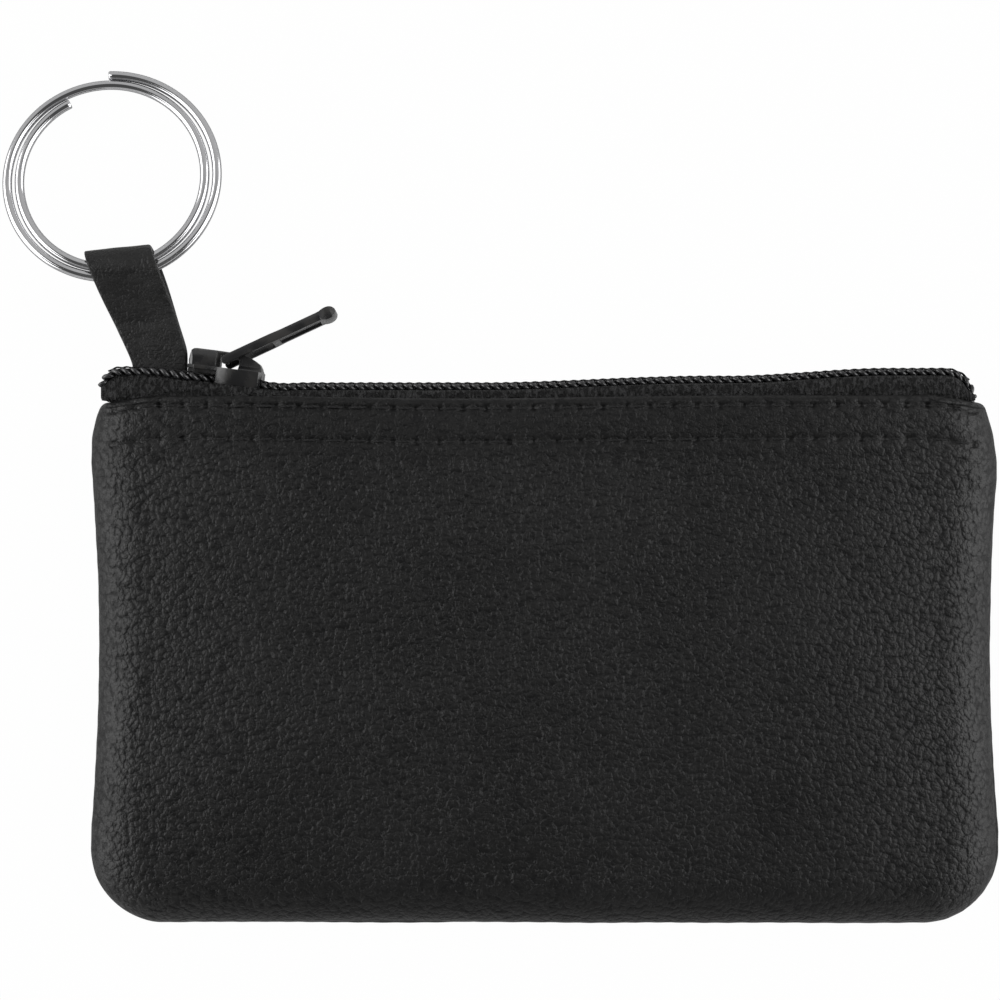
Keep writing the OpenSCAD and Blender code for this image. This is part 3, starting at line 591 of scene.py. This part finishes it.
def shell_relief(side, x, y):
    """The face's relief: the hem, sag and small dents, and puckers along the seam."""
    sag, sag_size, dent, dent_size = 0.16, 30, 0.05, 9
    pucker, pucker_pitch, pucker_reach = 0.02, 3.1, 4
    soft = sag * waves(x, y, sag_size, 3 + side) + dent * waves(x, y, dent_size, 11 + side)
    puckers = pucker * np.sin(math.tau * (x + y) / pucker_pitch + 2 * np.sin((x - y) / 7))
    near_seam = bell(half_width(y) - abs(x), pucker_reach) + bell(y - bottom_y, pucker_reach)
    if side == BACK:
        soft = soft * 0.3
    return hem_relief(x, y) + soft + puckers * np.minimum(1, near_seam)


def end_rise(x, y):
    """Lifts the mouth's two ends into the smooth line of the hem."""
    inner_x, end_y = half_width(top_y) - roll - 2, edge_y(body_w / 2 - 2)
    straight = np.interp(abs(x), [inner_x, inner_x + 2], [edge_y(inner_x), end_y])
    return np.where(abs(x) > inner_x, edge_y(x) - straight, 0) * ramp(y, end_y - 5, end_y)


def drawn_in(x, y):
    """The shoulder beside the zip's closed end is pulled in a little."""
    return x - shoulder_pull * ramp(x, body_w / 2 - 16, body_w / 2 - 4) * ramp(y, top_y - 11, top_y - 3)


def allowance(seam):
    """Width of the seam allowance, which is cut back near the mouth."""
    return allowance_w * (1 - mouth_trim * ramp(seam[:, 1], top_y - 18, top_y - 9))


def shell_layers(side, seam, inward, hem_x):
    """The leather's face and its inner side: round the rolled edge, then up to the hem's fold."""
    seam_pull, seam_pull_h, start_lean = 0.42, 0.5, 0.06
    fold = [0.7, 0.5, 0.33, 0.2, 0.1, 0.03, 0]
    roll_a = np.radians(np.concatenate([[0.6, 2, 4, 7], np.linspace(10.5, 90, 15)]))
    base = seam + inward * roll
    tip = np.column_stack([hem_x, edge_y(hem_x)])
    base_out, base_in = outer_h(side, *base.T), inner_h(side, *base.T)
    inner_roll = roll - leather_t
    outer, inner = [], []
    for a in roll_a:
        d = roll * (1 - np.cos(a)) + seam_pull * bell(base_out * np.sin(a), seam_pull_h)
        outer.append(np.column_stack([seam + inward * d[:, None], level(side, base_out * np.sin(a))]))
        lean = np.arcsin(leather_t / base_in)
        b = lerp(lean + start_lean, math.pi / 2, (a - roll_a[0]) / (math.pi / 2 - roll_a[0]))
        d = roll - inner_roll * np.cos(b)
        inner.append(np.column_stack([seam + inward * d[:, None], level(side, base_in * np.sin(b))]))
    turn = np.clip((hem_line - 1.2 - base[:, 1]) / (tip[:, 1] - base[:, 1]), 0.3, 0.86)
    reach = np.maximum(tip[:, 1] - base[:, 1], 2.5)
    last = 1 - 0.9 / reach
    shares = [turn * t for t in np.linspace(0, 1, 58)[1:]]
    shares += [lerp(turn, last, t) for t in np.linspace(0, 1, 30)[1:]]
    shares += [1 - left / reach for left in fold]
    for share in shares:
        p = lerp(base, tip, share[:, None])
        outer.append(np.column_stack([p, level(side, outer_h(side, *p.T))]))
        inner.append(np.column_stack([p, level(side, inner_h(side, *p.T))]))
    outer, inner = np.array(outer).transpose(1, 0, 2), np.array(inner).transpose(1, 0, 2)
    for layer in (outer, inner):
        layer[..., 1] += end_rise(layer[..., 0], layer[..., 1])
    return outer, inner


def with_relief(side, face):
    """The leather's face, moved along its normal by its relief."""
    normal = np.cross(np.gradient(face, axis=1), np.gradient(face, axis=0))
    normal /= np.maximum(np.linalg.norm(normal, axis=2), 1e-9)[..., None]
    normal *= np.where(normal[..., 2:] * side < 0, -1, 1)
    relief = shell_relief(side, face[..., 0], face[..., 1])
    return face + normal * relief[..., None]


def round_fold(outer, inner):
    """Draws both sides of the leather together into the hem's round fold."""
    below = edge_y(outer[..., 0]) - outer[..., 1]
    fold_r = (leather_t + hem_t) / 2
    f = np.sqrt(np.clip(1 - (1 - np.clip(below / fold_r, 0, 1)) ** 2, 0, 1))[..., None]
    mid = (outer + inner) / 2
    return mid + (outer - mid) * f, mid + (inner - mid) * f


def leather_shell(side):
    """One half of the shell, with its seam allowance turned inside."""
    seam, inward, hem_x = stations(96, 34, 150)
    outer, inner = shell_layers(side, seam, inward, hem_x)
    outer, inner = round_fold(with_relief(side, outer), inner)
    trim, soft_edge = allowance(seam), 0.06
    flap = [np.column_stack([seam + inward * d[:, None], np.full(len(seam), level(side, h))])
            for d, h in ((trim * 0.5, 0), (trim, soft_edge), (trim, leather_t - soft_edge),
                         (trim * 0.6, leather_t))]
    section = np.concatenate([np.array(flap[:2])[::-1], outer.transpose(1, 0, 2),
                              inner.transpose(1, 0, 2)[::-1], np.array(flap[2:])[::-1]])
    section[..., 0] = drawn_in(section[..., 0], section[..., 1])
    if side == BACK:
        section[..., 2] = np.maximum(section[..., 2], 0.0)
    faces = bag_faces(*section.shape[:2])
    piece = make_mesh(prefix[side] + "leather", section.reshape(-1, 3), faces, LEATHER)
    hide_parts("front_panel" if side == FRONT else "back_panel")
    return piece


# ---- linings ----

def lining_h(side, x, y):
    """Height of the lining above the seam; at the hem the tape lies over it."""
    sewn = ramp(y, hem_line - 1, hem_line + 0.5)
    return inner_h(side, x, y) - skin_gap - (tape_t + skin_gap) * sewn


def lining(side):
    """One half of the lining bag: sewn over the tape, slack below the hem."""
    seam_clear, edge_below, outer_t = 0.25, lower_row - 2.6, 0.04
    slack_h, slack_size, free_rows, sewn_rows = 0.22, 16, 0.8, 0.2
    seam, inward, hem_x = stations(40, 14, 60)
    base = seam + inward * roll
    trim = allowance(seam) + seam_clear
    tip = np.column_stack([hem_x, edge_y(hem_x) - edge_below])
    turn = np.clip((hem_line - 1 - base[:, 1]) / (tip[:, 1] - base[:, 1]), 0.2, 0.9)
    layers = []
    for t in (outer_t, lining_t):
        rows = []
        w = roll - trim - t
        h = lining_h(side, *base.T) - t
        for a in np.radians(np.linspace(0, 90, 9)):
            rows.append(np.column_stack([seam + inward * (roll - w * np.cos(a))[:, None],
                                         level(side, h * np.sin(a))]))
        for k in np.linspace(0, 1, 42)[1:]:
            share = np.where(k < free_rows, k / free_rows * turn,
                             turn + (k - free_rows) / sewn_rows * (1 - turn))
            p = lerp(base, tip, share[:, None])
            hills = 1 + waves(p[:, 0], p[:, 1], slack_size, 21 + side)
            slack = slack_h * hills * ramp(-p[:, 1], 2 - top_y + hem_w, 18 - top_y)
            h_slack = lining_h(side, *p.T) - t - slack * ramp(k, 0.02, 0.3)
            rows.append(np.column_stack([p, level(side, h_slack)]))
        layers.append(np.array(rows))
    section = np.concatenate([layers[0], layers[1][::-1]])
    faces = bag_faces(*section.shape[:2])
    piece = make_mesh(prefix[side] + "cloth", section.reshape(-1, 3), faces, LINING)
    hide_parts("front_lining" if side == FRONT else "back_lining")
    return piece


# ---- the zip's chain and tapes ----

def free_y(x):
    """The chain's free line: level where open, in two soft steps where closed."""
    steps = lerp(ramp(x, -0.07 * body_w, 0.18 * body_w), ramp(x, 0.2 * body_w, 0.38 * body_w), 0.54)
    return zip_y + np.where(x < slider_x, open_rise, closed_rise * steps)


def chain_y(x):
    """The chain's line, along the tilted slider too."""
    away = abs(x - slider_x) - slider_l / 2 - 0.4
    on_slider = slider_y - (x - slider_x) * math.tan(math.radians(slider_tilt))
    return lerp(on_slider, free_y(x), ramp(away, 0, 5))


def chain_at(run):
    """Place and slope of the chain at a run from its middle; both ends curl down."""
    x, y, near = np.array(run, float), chain_y(run), 0.1
    slope = np.arctan(chain_y(x + near) / (2 * near) - chain_y(x - near) / (2 * near))
    for sign, start, r in ((-1, open_start, open_curl_r), (1, closed_start, closed_curl_r)):
        turned = np.clip((sign * run - start) / r, 0, None)
        x = np.where(turned > 0, sign * (start + r * np.sin(turned)), x)
        y = np.where(turned > 0, chain_y(sign * start) - r * (1 - np.cos(turned)), y)
        slope = np.where(turned > 0, -sign * turned, slope)
    return x, y, slope


def parting(run):
    """How far each half of the chain stands off the middle."""
    return (coil_parting * ramp(slider_x + 0.8 - run, 0, slider_l / 2 + 0.8)
            * (1 - 0.5 * ramp(-run, open_start - 1.5, open_start + 2)))


def coil_piece(side):
    """One nylon filament wound in turns: flat legs, a round head that meshes, and a slanted heel."""
    first, last = math.ceil(open_run / coil_pitch), math.floor(closed_run / coil_pitch)
    r = (coil_h - filament) / 2
    leg = coil_w / 2 - filament / 2 - r
    head_w, head_h = 1.12, 1.04
    # once round the flat loop: across (heel is positive), up, and share of the advance
    loop = [(leg, r, 0), (0, r, 0.02), (-leg * 0.9, r * head_h, 0.03)]
    loop += [(-leg - head_w * r * math.cos(a), head_h * r * math.sin(a), 0.05)
             for a in np.radians([60, 30, 0, -30, -60])]
    loop += [(-leg * 0.9, -r * head_h, 0.07), (0, -r, 0.1), (leg, -r, 0.14)]
    loop += [(leg + r * math.cos(a), r * math.sin(a), 0.14 + 0.86 * (a / math.pi + 0.5))
             for a in np.radians([-60, -30, 0, 30, 60])]
    across, up, advance = np.array(loop).T
    path = []
    for turn in range(last, first - 1, -1):
        run = (turn + (0 if side == FRONT else 0.5) - advance + 0.5) * coil_pitch
        x, y, slope = chain_at(run)
        path.append(np.column_stack([x - up * np.sin(slope), y + up * np.cos(slope),
                                     seam_z + side * (coil_w / 2 - coil_mesh / 2 + parting(run) + across)]))
    points, faces = tube(np.concatenate(path), filament / 2, 9)
    piece = make_mesh(prefix[side] + "coil", points, faces, NYLON)
    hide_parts("front_zip_coil" if side == FRONT else "back_zip_coil")
    return piece


def coil_threads(side):
    """The cord inside the coil, and the chain stitch that sews the coil to its tape."""
    stitch_r, stitch_sink, stitch_wave, stitch_rows = 0.09, 0.04, 0.05, (0.05, 0.72)
    # each row: off the coil's middle, radius, lift, wave, and step along the run
    rows = [(0, core_r, 0, 0, 0.4)]
    rows += [(off, stitch_r, coil_h / 2 - stitch_sink, stitch_wave, coil_pitch / 6) for off in stitch_rows]
    parts = []
    for off, radius, lift, wave, step in rows:
        short = 0.7 if off == 0 else 1.6
        run = np.arange(open_run + short, closed_run - short, step)
        x, y, slope = chain_at(run)
        if off == 0:
            radius = radius + curl_fill * (ramp(-run, 48.4, 49.6) + ramp(run, 46, 47.2))
        up = lift + wave * np.cos(math.tau * run / coil_pitch)
        across = coil_w / 2 - coil_mesh / 2 + parting(run) + off + wave * np.sin(math.tau * run / coil_pitch)
        path = np.column_stack([x - up * np.sin(slope), y + up * np.cos(slope), seam_z + side * across])
        parts.append(tube(path, radius, 6))
    points, faces = joined(parts)
    piece = make_mesh(prefix[side] + "coil_threads", points, faces, THREAD)
    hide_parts("front_coil_core" if side == FRONT else "back_coil_core")
    return piece


def inside_h(side, x, y):
    """Height of the leather's inner side, round the rolled edge too."""
    d = half_width(y) - abs(x) - leather_t
    w = roll - leather_t
    return inner_h(side, x, y) * rolled_off(d, w)


def tape_section(side, x, run):
    """The tape's middle line from inside the hem, over the mouth, to under the coil."""
    y = edge_y(x)
    low = hem_line + 1
    wall = [inside_h(side, x, at) - skin_gap - tape_t / 2 for at in (low, y - 3, y - 0.4)]
    under = max(chain_at(run)[1] - tape_drop * math.cos(chain_at(run)[2]), y + 0.5)
    heel = chain_half + parting(run) - half_gap
    turn = max(wall[2], heel) - 0.43
    return np.array([[wall[0], low], [wall[1], y - 3], [wall[2], y - 0.4],
                     [wall[2], lerp(y - 0.4, under, 0.4)],
                     [lerp(turn, wall[2], 0.8), lerp(y - 0.4, under, 0.8)],
                     [turn, under], [(turn + parting(run)) / 2, under], [parting(run) + 0.25, under]])


def smooth_line(points, count):
    """A Catmull-Rom curve through points, evenly spaced."""
    p = np.vstack([2 * points[0] - points[1], points, 2 * points[-1] - points[-2]])
    out = []
    for k in range(1, len(p) - 2):
        for t in np.linspace(0, 1, 8, endpoint=False):
            out.append(0.5 * (2 * p[k] + (p[k + 1] - p[k - 1]) * t
                              + (2 * p[k - 1] - 5 * p[k] + 4 * p[k + 1] - p[k + 2]) * t ** 2
                              + (3 * p[k] - p[k - 1] - 3 * p[k + 1] + p[k + 2]) * t ** 3))
    out.append(points[-1])
    out = np.array(out)
    run = np.concatenate([[0], np.cumsum(np.linalg.norm(np.diff(out, axis=0), axis=1))])
    at = np.linspace(0, run[-1], count)
    return np.column_stack([np.interp(at, run, out[:, k]) for k in range(out.shape[1])])


def tape_piece(side):
    """The tape, as wide as the chain where it shows and narrower inside the hem."""
    columns, per = 240, 26
    i = np.arange(columns + 1)
    spread = -lerp(1 - 2 * i / columns, np.cos(math.pi * i / columns), 0.4)
    loops = []
    for at in spread:
        run = at * (closed_run if at > 0 else -open_run)
        x, shown = at * tape_end, at * (closed_show if at > 0 else open_show)
        line = smooth_line(tape_section(side, x, run), per)
        ahead = np.gradient(line, axis=0)
        normal = np.column_stack([-ahead[:, 1], ahead[:, 0]]) / np.linalg.norm(ahead, axis=1)[:, None]
        loop = np.concatenate([line + normal * tape_t / 2, (line - normal * tape_t / 2)[::-1]])
        y = loop[:, 1]
        over, _, slope = chain_at(run)
        over = lerp(over + tape_drop * math.sin(slope), shown, ramp(abs(at), 0.98, 1))
        along = lerp(x, shown, ramp(y, edge_y(x) - 0.3, edge_y(x) + 0.05))
        along = lerp(along, over, ramp(y, edge_y(x) + 0.3, line[-1, 1]))
        loops.append(np.column_stack([along, y, level(side, loop[:, 0])]))
    section = np.array(loops)
    rows, cols = section.shape[:2]
    faces = grid_quads(rows, cols, wrap=True)
    for r in (0, rows - 1):
        faces += [[r * cols + k, r * cols + k + 1, r * cols + cols - 2 - k, r * cols + cols - 1 - k]
                  for k in range(per - 1)]
    piece = make_mesh(prefix[side] + "tape", section.reshape(-1, 3), faces, TAPE, angle=50)
    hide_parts("front_zip_tape" if side == FRONT else "back_zip_tape")
    return piece


# ---- topstitching ----

def face_h(side, x, y):
    """Height of the leather's face, round the rolled edge too."""
    d = half_width(y) - abs(x)
    edge = np.sign(x) * (half_width(y) - roll)
    return outer_h(side, np.where(d >= roll, x, edge), y) * rolled_off(d, roll)


def face_point(side, x, y, lift):
    """A point that stands `lift` above the leather's face."""
    slope = (face_h(side, x + 0.2, y) - face_h(side, x - 0.2, y)) / 0.4
    lean = math.atan(slope)
    lift = lift + float(hem_relief(x, y))
    x_out = float(drawn_in(x - lift * math.sin(lean), y))
    return [x_out, y, level(side, face_h(side, x, y) + lift * math.cos(lean))]


def hem_stitches(side):
    """Two rows of slightly uneven stitches, with their ends down in the holes."""
    hole_w, above, sink = 0.4, 0.03, 0.6
    slant, slant_spread, length_spread = 0.05, 0.04, 0.03
    parts = []
    for below in (upper_row, lower_row):
        for x in stitch_centres():
            tilt = slant + slant_spread * rng.normal()
            long = stitch_pitch - hole_w + length_spread * rng.normal()
            path = []
            for u in np.linspace(-0.5, 0.5, 11):
                at = x + u * long
                lift = above - sink * abs(2 * u) ** 4
                path.append(face_point(side, at, edge_y(at) - below + tilt * 2 * u, lift))
            parts.append(tube(path, thread_d * 0.4, 8))
    points, faces = joined(parts)
    piece = make_mesh(prefix[side] + "topstitching", points, faces, THREAD)
    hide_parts("front_hem_stitches" if side == FRONT else "back_hem_stitches")
    return piece


# ---- the slider and its parts keep the frame's shapes, with their edges rounded ----

rear_half, nose_flare = chain_half + 0.6, 0.55
pull_angle, tip_l, tip_share = 25, 2.4, 0.76
slider_axis = np.array([math.cos(math.radians(slider_tilt)), -math.sin(math.radians(slider_tilt))])


def cut_across(bm, direction, places):
    """Cuts the mesh by planes along a direction, so that it can be bent there."""
    for place in places:
        geom = bm.verts[:] + bm.edges[:] + bm.faces[:]
        bmesh.ops.bisect_plane(bm, geom=geom, dist=1e-6, plane_no=direction, plane_co=place)


def curved_flanges(bm):
    """The flanges' outer faces run up to the wide nose in one soft curve."""
    nose, ramp_foot, curve_foot, slip = -0.9, 0.9, 1.4, 0.01
    axis = Vector((slider_axis[0], slider_axis[1], 0))
    hub = Vector((slider_x, slider_y, 0)) * MM
    cut_across(bm, axis, [hub + axis * u * MM for u in (-0.6, -0.3, 0, 0.3, 0.6, 1.1, curve_foot)])
    for v in bm.verts:
        z = v.co.z / MM - seam_z
        u = (v.co - hub).dot(axis) / MM
        straight = rear_half + nose_flare * min(max((ramp_foot - u) / (ramp_foot - nose), 0), 1)
        if nose - slip < u < curve_foot + slip and abs(abs(z) - straight) < 2 * slip:
            curved = rear_half + nose_flare * ((curve_foot - u) / (curve_foot - nose)) ** 2
            v.co.z = (seam_z + math.copysign(curved, z)) * MM


def small_tip(bm):
    """The pull's tip is a small knob, and the pull a little shorter."""
    neck_l, shorter = 0.8, 0.25
    axis = Vector((math.cos(math.radians(pull_angle)), math.sin(math.radians(pull_angle)), 0))
    pivot = Vector(next(j["pos_m"] for j in frame["joints"] if j["name"] == "pull_swing"))
    reach = max((v.co - pivot).dot(axis) for v in bm.verts) / MM
    for v in bm.verts:
        along = (v.co - pivot).dot(axis)
        t = float(ease((along / MM - reach + tip_l) / neck_l))
        line = pivot + axis * along
        v.co = line + (v.co - line) * lerp(1, tip_share, t) - axis * shorter * MM * t


def rounded_copy(node, name, width_mm, material, body, reshape=None):
    """A copy of one of the frame's solids with rounded edges."""
    piece = frame["nodes"][node].copy()
    mesh = piece.data = piece.data.copy()
    for key in list(piece.keys()):
        del piece[key]
    piece.parent = None
    piece.name = name
    scene.collection.objects.link(piece)
    bm = bmesh.new()
    bm.from_mesh(mesh)
    bmesh.ops.remove_doubles(bm, verts=bm.verts, dist=2e-6)
    bmesh.ops.dissolve_limit(bm, angle_limit=math.radians(3), verts=bm.verts, edges=bm.edges)
    if reshape:
        reshape(bm)
    sharp = [e for e in bm.edges if len(e.link_faces) == 2 and e.calc_face_angle() > math.radians(25)]
    bmesh.ops.bevel(bm, geom=sharp, offset=width_mm * MM, segments=3, profile=0.6, affect="EDGES",
                    clamp_overlap=True)
    bm.to_mesh(mesh)
    bm.free()
    mesh.polygons.foreach_set("use_smooth", [True] * len(mesh.polygons))
    mesh.set_sharp_from_angle(angle=math.radians(40))
    mesh.materials.clear()
    mesh.materials.append(material)
    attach(piece, body)
    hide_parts(node)


# ---- key strap and split ring ----

loop_at = np.array([strap_x - strap_lean, mouth_y + strap_l, seam_z])
turn_gap = 0.05
bundle = 2 * ring_wire + turn_gap
ring_mid_r = ring_od / 2 - bundle / 2
tunnel_sag = ring_mid_r - math.sqrt(ring_mid_r ** 2 - (strap_w / 2 + 0.6) ** 2)
loop_r = math.hypot(bundle / 2 + tunnel_sag / 2, ring_wire / 2) + loop_gap


def strap_line():
    """The strip's middle line from the side: up the back, round the ring and down the front."""
    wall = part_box("strap_tail")[0].z / MM
    r = loop_r + strap_t / 2
    half = strap_t / 2 + 0.01
    wrap = np.radians(np.linspace(-112, 112, 40))
    to_wall = wall + 1.5 * strap_t - seam_z
    front = [(-5.8, half + 0.05), (-8, half), (-11, half), (-13.4, half), (-14.4, half)]
    front += [(-15.6, half - 0.1), (-17, half - 0.8), (-18.8, lerp(half - 0.8, to_wall, 0.75))]
    front += [(-20.5, to_wall), (-22.5, to_wall), (-24, to_wall)]
    arc = [(r * math.cos(a), r * math.sin(a)) for a in wrap]
    back = [(q, -z if q > -15 else z - strap_t - 0.02) for q, z in front]
    return smooth_line(np.array(back[::-1] + arc + front), 230)


def strap_section():
    """The strip's rounded section, as places across it and through it."""
    cut = 0.2
    ends = [(strap_w / 2 - cut + cut * math.cos(a), strap_t / 2 - cut + cut * math.sin(a))
            for a in np.radians([0, 30, 60, 90])]
    flat = [(w, strap_t / 2) for w in np.linspace(strap_w / 2 - cut, cut - strap_w / 2, 16)[1:-1]]
    upper = ends + flat + [(-w, t) for w, t in ends[::-1]]
    return upper + [(w, -t) for w, t in upper[::-1]]


def strap_points(path, section):
    """The creased strip: level and wide at the ring, leaning to one side below it."""
    lean, lean_x, lean_y, soft_bend, bend_slant = 0.39, strap_x + 0.22, mouth_y + 4.3, 0.4, 1.7
    crease_h, crease_size, inner_crease, full_h = 0.05, 4, 0.3, 0.05
    low_wide, high_wide = 1.04, 1.23
    ahead = np.gradient(path, axis=0)
    ahead /= np.linalg.norm(ahead, axis=1)[:, None]
    normal = np.column_stack([ahead[:, 1], -ahead[:, 0]])
    points = []
    for k, ((q, z), (nq, nz)) in enumerate(zip(path, normal)):
        for w, t in section:
            hills = float(waves(np.array(w * 1.4), np.array(k * 0.22), crease_size, 31))
            crease = crease_h * hills * (1 if t > 0 else inner_crease)
            off = t + math.copysign(crease + full_h * math.cos(math.pi * w / strap_w), t)
            along = loop_at[1] + (q + off * nq) - loop_drop * float(ramp(q, -8, -2))
            wide = w * lerp(low_wide, high_wide, float(ramp(q, -13, -1)))
            y = along + wide * math.tan(math.radians(loop_slope)) * float(ramp(q, -13, -3))
            bend_y = lean_y - bend_slant * (0.5 - w / strap_w)
            above = bend_y + soft_bend * float(np.logaddexp(0, (y - bend_y) / soft_bend))
            points.append([lean_x - lean * (above - lean_y) + wide, y, seam_z + (z + off * nz)])
    return points


def strap_piece():
    """One strip of leather, folded over the ring."""
    path, section = strap_line(), strap_section()
    faces = bar_faces(len(path), len(section))
    piece = make_mesh("key_strap", strap_points(path, section), faces, STRAP, angle=60)
    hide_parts("strap_tail", "strap_loop")
    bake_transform(piece)


def ring_piece():
    """Round wire, wound nearly twice round in one plane."""
    floor_gap, spread, end_taper, hang_x = 0.08, 0.3, 0.82, -0.45
    first_deg, last_deg = 2, 699
    tilt = math.asin((seam_z - ring_wire / 2 - floor_gap) / (ring_od - bundle / 2))
    slope = math.radians(loop_slope)
    a = np.radians(np.linspace(first_deg, last_deg, 330))
    r = ring_od / 2 - ring_wire / 2 - (ring_wire + turn_gap) * (a - math.pi) / math.tau
    r += np.where(a < math.tau, spread * np.sin(a) ** 2, 0)
    x, hang = r * np.sin(a), r * np.cos(a) + ring_mid_r - tunnel_sag / 2
    y, z = hang * math.cos(tilt), -hang * math.sin(tilt)
    path = np.column_stack([x * math.cos(slope) - y * math.sin(slope),
                            x * math.sin(slope) + y * math.cos(slope), z])
    radius = np.full(len(a), ring_wire / 2)
    radius[[0, -1]] *= end_taper
    path[0] = lerp(path[0], path[1], 0.7)
    path[-1] = lerp(path[-1], path[-2], 0.7)
    points, faces = tube(path + loop_at + [hang_x, -loop_drop, 0], radius, 24)
    piece = make_mesh("key_ring", points, faces, CHROME, angle=60)
    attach(piece, "ring")
    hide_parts("split_ring")


# ---- making the pieces ----

shells = {side: leather_shell(side) for side in (BACK, FRONT)}
cloths = {side: lining(side) for side in (BACK, FRONT)}
tapes = {side: tape_piece(side) for side in (BACK, FRONT)}
coils = {side: coil_piece(side) for side in (BACK, FRONT)}
threads = {side: coil_threads(side) for side in (BACK, FRONT)}
stitches = {side: hem_stitches(side) for side in (BACK, FRONT)}
for group in (shells, cloths, tapes, coils, threads, stitches):
    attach(group[BACK], "back")
    opens_with_mouth(group[FRONT])

strap_piece()
ring_piece()
rounded_copy("slider_body", "slider_casting", 0.11, ENAMEL, "slider", curved_flanges)
rounded_copy("slider_crown", "slider_arch", 0.14, ENAMEL, "slider")
rounded_copy("pull_tab", "zip_pull", 0.12, ENAMEL, "pull", small_tip)
for node, material in (("lock_spring", STEEL), ("side_seam_stitches", THREAD)):
    slots = frame["nodes"][node].data.materials
    slots.clear()
    slots.append(material)


# ---- camera, floor and light ----

def camera():
    """Straight above, a third of a metre up."""
    data = bpy.data.cameras.new("camera")
    data.lens, data.sensor_width = 100, 36
    data.clip_start, data.clip_end = 0.01, 10
    scene.camera = add_object("camera", data, (-5.4 * MM, 19.36 * MM, 343 * MM))


def seen_white(nodes, lit, white_share, mirror_share):
    """Nearly white where the camera looks, with the shadow left in; mirrors get a part of that."""
    rays = nodes.node("LightPath").outputs
    glow = nodes.node("Emission", {"Color": (1, 1, 1, 1)}).outputs[0]
    seen = nodes.times(rays["Is Glossy Ray"], mirror_share)
    for ray in ("Is Camera Ray", "Is Transmission Ray"):
        seen = nodes.math("MAXIMUM", rays[ray], seen)
    share = nodes.times(seen, white_share)
    return nodes.node("MixShader", {0: share, 1: lit, 2: glow}).outputs[0]


def floor():
    """A pale matt table, just under the purse."""
    size, floor_z = 1500, -0.05
    paint = Paint("studio_floor", (0.6, 0.6, 0.6), 0.9, Specular_IOR_Level=0.1)
    seen = seen_white(paint, paint.shader.outputs[0], 0.985, 0.1)
    paint.link(seen, paint.tree.nodes["Material Output"].inputs["Surface"])
    corners = [[x * size, y * size, floor_z] for x, y in ((-1, -1), (1, -1), (1, 1), (-1, 1))]
    piece = make_mesh("studio_floor", corners, [[0, 1, 2, 3]], paint.mat, closed=False)


def softbox(name, at, size, power):
    """A rectangular lamp that looks at the purse."""
    data = bpy.data.lights.new(name, "AREA")
    data.shape = "RECTANGLE"
    data.size, data.size_y = size
    data.energy = power
    add_object(name, data, at).rotation_euler = (Vector() - Vector(at)).to_track_quat("-Z", "Y").to_euler()


def world():
    """A soft grey dome with a dark patch overhead, where the camera stands; the camera sees it white."""
    made = bpy.data.worlds.new("studio")
    scene.world = made
    made.use_nodes = True
    nodes = Nodes(made.node_tree)
    back = nodes.tree.nodes["Background"]
    coords = nodes.node("TexCoord").outputs["Generated"]
    split = nodes.node("SeparateXYZ", {0: coords}).outputs
    height = nodes.node("Math", {0: split["Y"], 1: -0.3, 2: split["Z"]}, operation="MULTIPLY_ADD")
    dome = nodes.node("ValToRGB", {0: height.outputs[0]})
    stops = dome.color_ramp.elements
    stops[0].position, stops[0].color = 0.70, (0.58, 0.58, 0.58, 1)
    stops[1].position, stops[1].color = 0.82, (0.09, 0.09, 0.09, 1)
    nodes.link(dome.outputs[0], back.inputs["Color"])
    white = nodes.node("Background", {"Color": (1, 1, 1, 1)}).outputs[0]
    seen = nodes.node("LightPath").outputs["Is Camera Ray"]
    mix = nodes.node("MixShader", {0: seen, 1: back.outputs[0], 2: white}).outputs[0]
    nodes.link(mix, nodes.tree.nodes["World Output"].inputs["Surface"])


camera()
floor()
softbox("left_panel", (-0.62, 0.0, 0.2), (0.9, 0.4), 2.8)
softbox("right_panel", (0.62, 0.0, 0.2), (0.9, 0.4), 2.8)
softbox("left_key", (-1.2, 0.22, 1.05), (0.7, 1.2), 6.5)
softbox("right_key", (1.08, 0.22, 1.2), (0.7, 1.2), 6.5)
world()
bpy.context.scene.view_settings.view_transform = "Standard"

bpy.context.view_layer.update()
